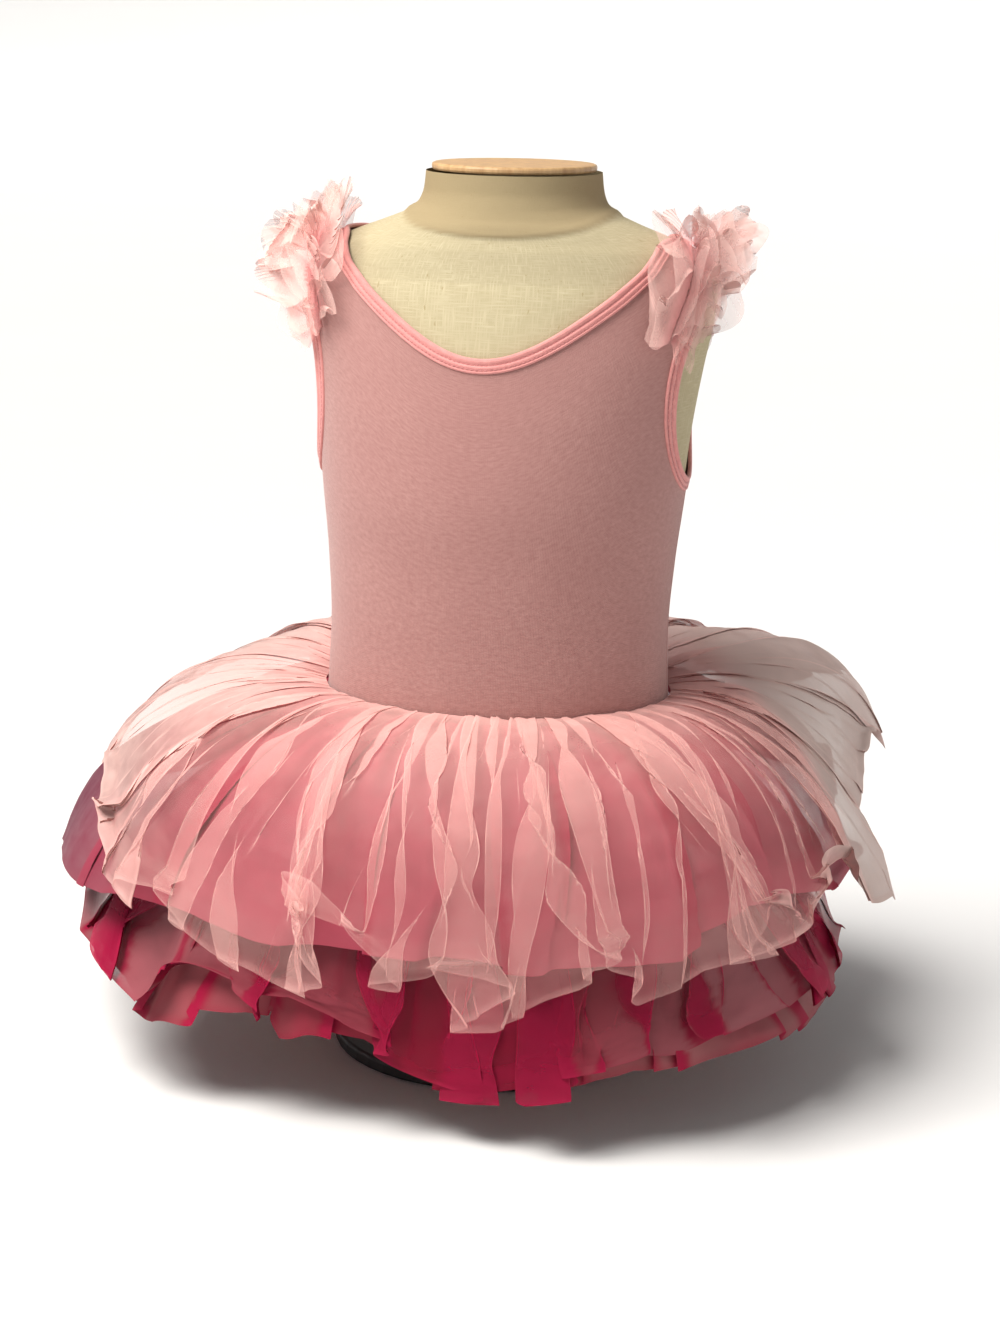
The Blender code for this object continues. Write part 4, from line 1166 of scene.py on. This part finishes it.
def frill_leaf(side, lean, tall, petals, shift, seed, dips, columns=300, rows=26):
    """One leaf of a frill: broad petals that lean over one another, with a lobed free edge.

    Gives its grid, its smooth form's normals, and the values that its finish takes.
    """
    share = np.linspace(0, 1, columns)
    t, height = frill_line(share, side)
    normal = torso_normal(t, height)
    seam = on_torso(t, height, ON_BODICE)
    along = unit(np.gradient(seam, axis=0))
    outward = np.cross(along, normal) * side
    level = np.linspace(0, 1, rows)[:, None] + np.zeros((1, columns))
    u = share[None, :] + np.zeros((rows, 1))
    # The wearer's right row lies out to the side in front and stands up over the shoulder.
    spread = (0 if side > 0 else 15) * bell(share - 0.22, 0.16) * np.sign(lean)
    tilt = np.radians(lean + spread + 14 * wander(u, level * 0.6, 6, 2, seed))
    rise = unit(normal * np.cos(tilt)[..., None] + outward * np.sin(tilt)[..., None])
    across = unit(np.cross(np.broadcast_to(along, rise.shape), rise))
    # It is lower at its ends and where it dips.
    kept = np.sin(np.clip(share, 0.03, 0.97) * math.pi) ** 0.4
    for lowest, less, half in dips:
        kept = kept * (1 - less * bell(share - lowest, half))
    phase = TURN * (petals * u + 0.8 * wander(u, level * 0.4, 6, 2, seed + 1)) + seed
    gathers = petals * PETAL_GATHERS
    gather = TURN * (gathers * u + 1.2 * wander(u, level * 0.3, 15, 2, seed + 2))
    grown = ease(level, 0.0, 0.7)
    close = 1 - ease(level, 0.02, 0.3)
    lobes = 0.09 * np.cos(phase * 2 + 1.0) + 0.14 * wander(u, level * 0, 24, 1, seed + 3)
    size = level * tall * MM * kept * (1 + lobes * grown)
    wave = PETAL_WAVE * grown * (0.5 * np.cos(phase) + 0.8 * np.sin(phase))
    wave += GATHER_WAVE * close * np.cos(gather)
    wave += PETAL_CREASE * grown * wander(u, level * 0.5, 10, 2, seed + 4)
    loop = PETAL_LOOP * grown * np.sin(phase) + GATHER_LOOP * close * np.sin(gather)
    fan = PETAL_FAN * (share - 0.5) * level - loop / petals
    droop = PETAL_DROOP * level**2 * (0.5 + 0.5 * wander(u, level, 6, 1, seed + 5)) * np.sign(lean)
    grid = (
        seam
        + outward * shift * MM
        + rise * size[..., None]
        + across * (wave * MM * kept)[..., None]
        + along * (fan * MM)[..., None]
        + outward * (droop * MM)[..., None]
    )
    facing = np.abs(np.sum(normals_of(grid, False) * across, axis=-1))
    steep = (1 / np.maximum(facing, 0.3) - 1) / FOLD_LAYERS
    # Near its front end, the row swirls into a rosette.
    swirl = 0.3 * bell(share - 0.1, 0.09) * level
    turned = along * np.sin(swirl)[..., None] - outward * (1 - np.cos(swirl))[..., None]
    grid = grid + turned * size[..., None] * 0.8
    front = np.broadcast_to(unit(0.6 * normal + np.array([0.0, -0.5, 0.9])), grid.shape)
    values = {
        "fold": np.clip(steep + 0.12 * (1 - level) ** 2, 0, 1),
        "thick": (1 - ease(level, 0.0, 0.7)) * 0.9,
        "tone": ease(level, 0.5, 1.0) * 0.35,
    }
    return grid, front, values


def make_frills():
    colours = ((253, 208, 200), (250, 174, 174), (216, 190, 180))
    net = tulle_finish("frill_tulle_net", *colours, 0.23, 0.35, 0.12)
    for side_name, side in (("left", 1), ("right", -1)):
        for row, *leans, tall, petals, shift, seed in FRILL_ROWS:
            lean = leans[0] if side > 0 else leans[1]
            seed = seed + (0 if side > 0 else 500)
            dips = FRILL_DIPS[side_name, row]
            leaves = []
            for i, (leaned, grown) in enumerate(FRILL_LEAVES):
                size = (lean * leaned, tall * grown, petals + i % 2, shift * (1 - i / 4))
                leaves.append(frill_leaf(side, *size, seed + 40 * i, dips))
            grids, fronts, each = zip(*leaves)
            values = {key: [leaf[key] for leaf in each] for key in each[0]}
            node = f"shoulder_frill_{side_name}_{row}"
            cut = (float(row_lengths(grids[0], False).max()), float(column_lengths(grids[0]).max()))
            made = add_grids(node + "_net", grids, False, cut, net, values)
            even_shading(made, fronts, 0.97)
            settle(made, "pale_tulle", node)


# -------- floor, light and camera


def lamp(name, kind, energy, place, aim, colour, **settings):
    data = bpy.data.lights.new(name, kind)
    data.energy, data.color = energy, colour
    for key, value in settings.items():
        setattr(data, key, value)
    made = bpy.data.objects.new(name, data)
    made.location = place
    made.rotation_euler = (Vector(aim) - Vector(place)).to_track_quat("-Z", "Y").to_euler()
    bpy.context.scene.collection.objects.link(made)


def make_stage():
    f = Finish("pale_floor")
    cloud = f.noise(f.place(), 3.0, 2.0)
    colour = f.mix(cloud, (0.83, 0.83, 0.83), (0.85, 0.85, 0.85))
    f.surface(Base_Color=colour, Roughness=0.9, Specular_IOR_Level=0.05)
    # The floor turns up into a low wall far behind, so that no horizon shows.
    rise = np.linspace(0, math.pi / 2, 9)
    reach = np.concatenate([[0.001, 4.0], 9 + 2 * np.sin(rise), [11.0]])
    height = np.concatenate([[0.0, 0.0], 2 - 2 * np.cos(rise), [3.5]])
    turn = np.arange(96) / 96 * TURN
    grid = [np.outer(reach, np.cos(turn)), np.outer(reach, np.sin(turn)), np.outer(height, turn * 0 + 1)]
    faces, _ = grid_faces(len(reach), len(turn), True)
    floor = add_mesh("floor", np.stack(grid, -1).reshape(-1, 3), faces, f.material)
    floor.location.z = -0.5 * MM

    world = bpy.data.worlds.new("studio")
    world.use_nodes = True
    sky = world.node_tree.nodes["Background"]
    sky.inputs[0].default_value = (1.0, 1.0, 1.0, 1.0)
    sky.inputs[1].default_value = 0.21
    bpy.context.scene.world = world

    sun, chest = (-0.75, -0.5, 2.2), (-0.40, -0.36, 0.93)
    lamp("overhead", "SUN", 3.4, sun, (0, 0, 0.2), (1.0, 0.97, 0.93), angle=math.radians(40))
    lamp("chest", "AREA", 4.7, chest, (-0.03, 0, 0.44), (1.0, 0.95, 0.88), size=0.35)


CAMERA_AZIMUTH, CAMERA_ELEVATION, CAMERA_ROLL = (math.radians(x) for x in (12, 14, 1.0))
CAMERA_DISTANCE = 1.55
SENSOR = 36
WIDTH_IN_VIEW = 0.55
SHIFT_UP = 20.5 / 1000


def make_camera():
    level = math.cos(CAMERA_ELEVATION)
    x, y = math.sin(CAMERA_AZIMUTH) * level, -math.cos(CAMERA_AZIMUTH) * level
    away = Vector((x, y, math.sin(CAMERA_ELEVATION)))
    data = bpy.data.cameras.new("camera")
    data.sensor_fit = "HORIZONTAL"
    data.sensor_width = SENSOR
    data.lens = SENSOR * CAMERA_DISTANCE / WIDTH_IN_VIEW
    data.shift_y = SHIFT_UP
    made = bpy.data.objects.new("camera", data)
    turned = (-away).to_track_quat("-Z", "Y").to_matrix() @ Matrix.Rotation(CAMERA_ROLL, 3, "Z")
    place = Vector((0, 0, WAIST)) + away * CAMERA_DISTANCE
    made.matrix_world = Matrix.Translation(place) @ turned.to_4x4()
    bpy.context.scene.collection.objects.link(made)
    bpy.context.scene.camera = made


make_camera()
make_form()
make_bodice()
make_skirt()
make_frills()
make_stage()
bpy.context.scene.view_settings.view_transform = "Standard"
bpy.context.scene.cycles.transparent_max_bounces = 40
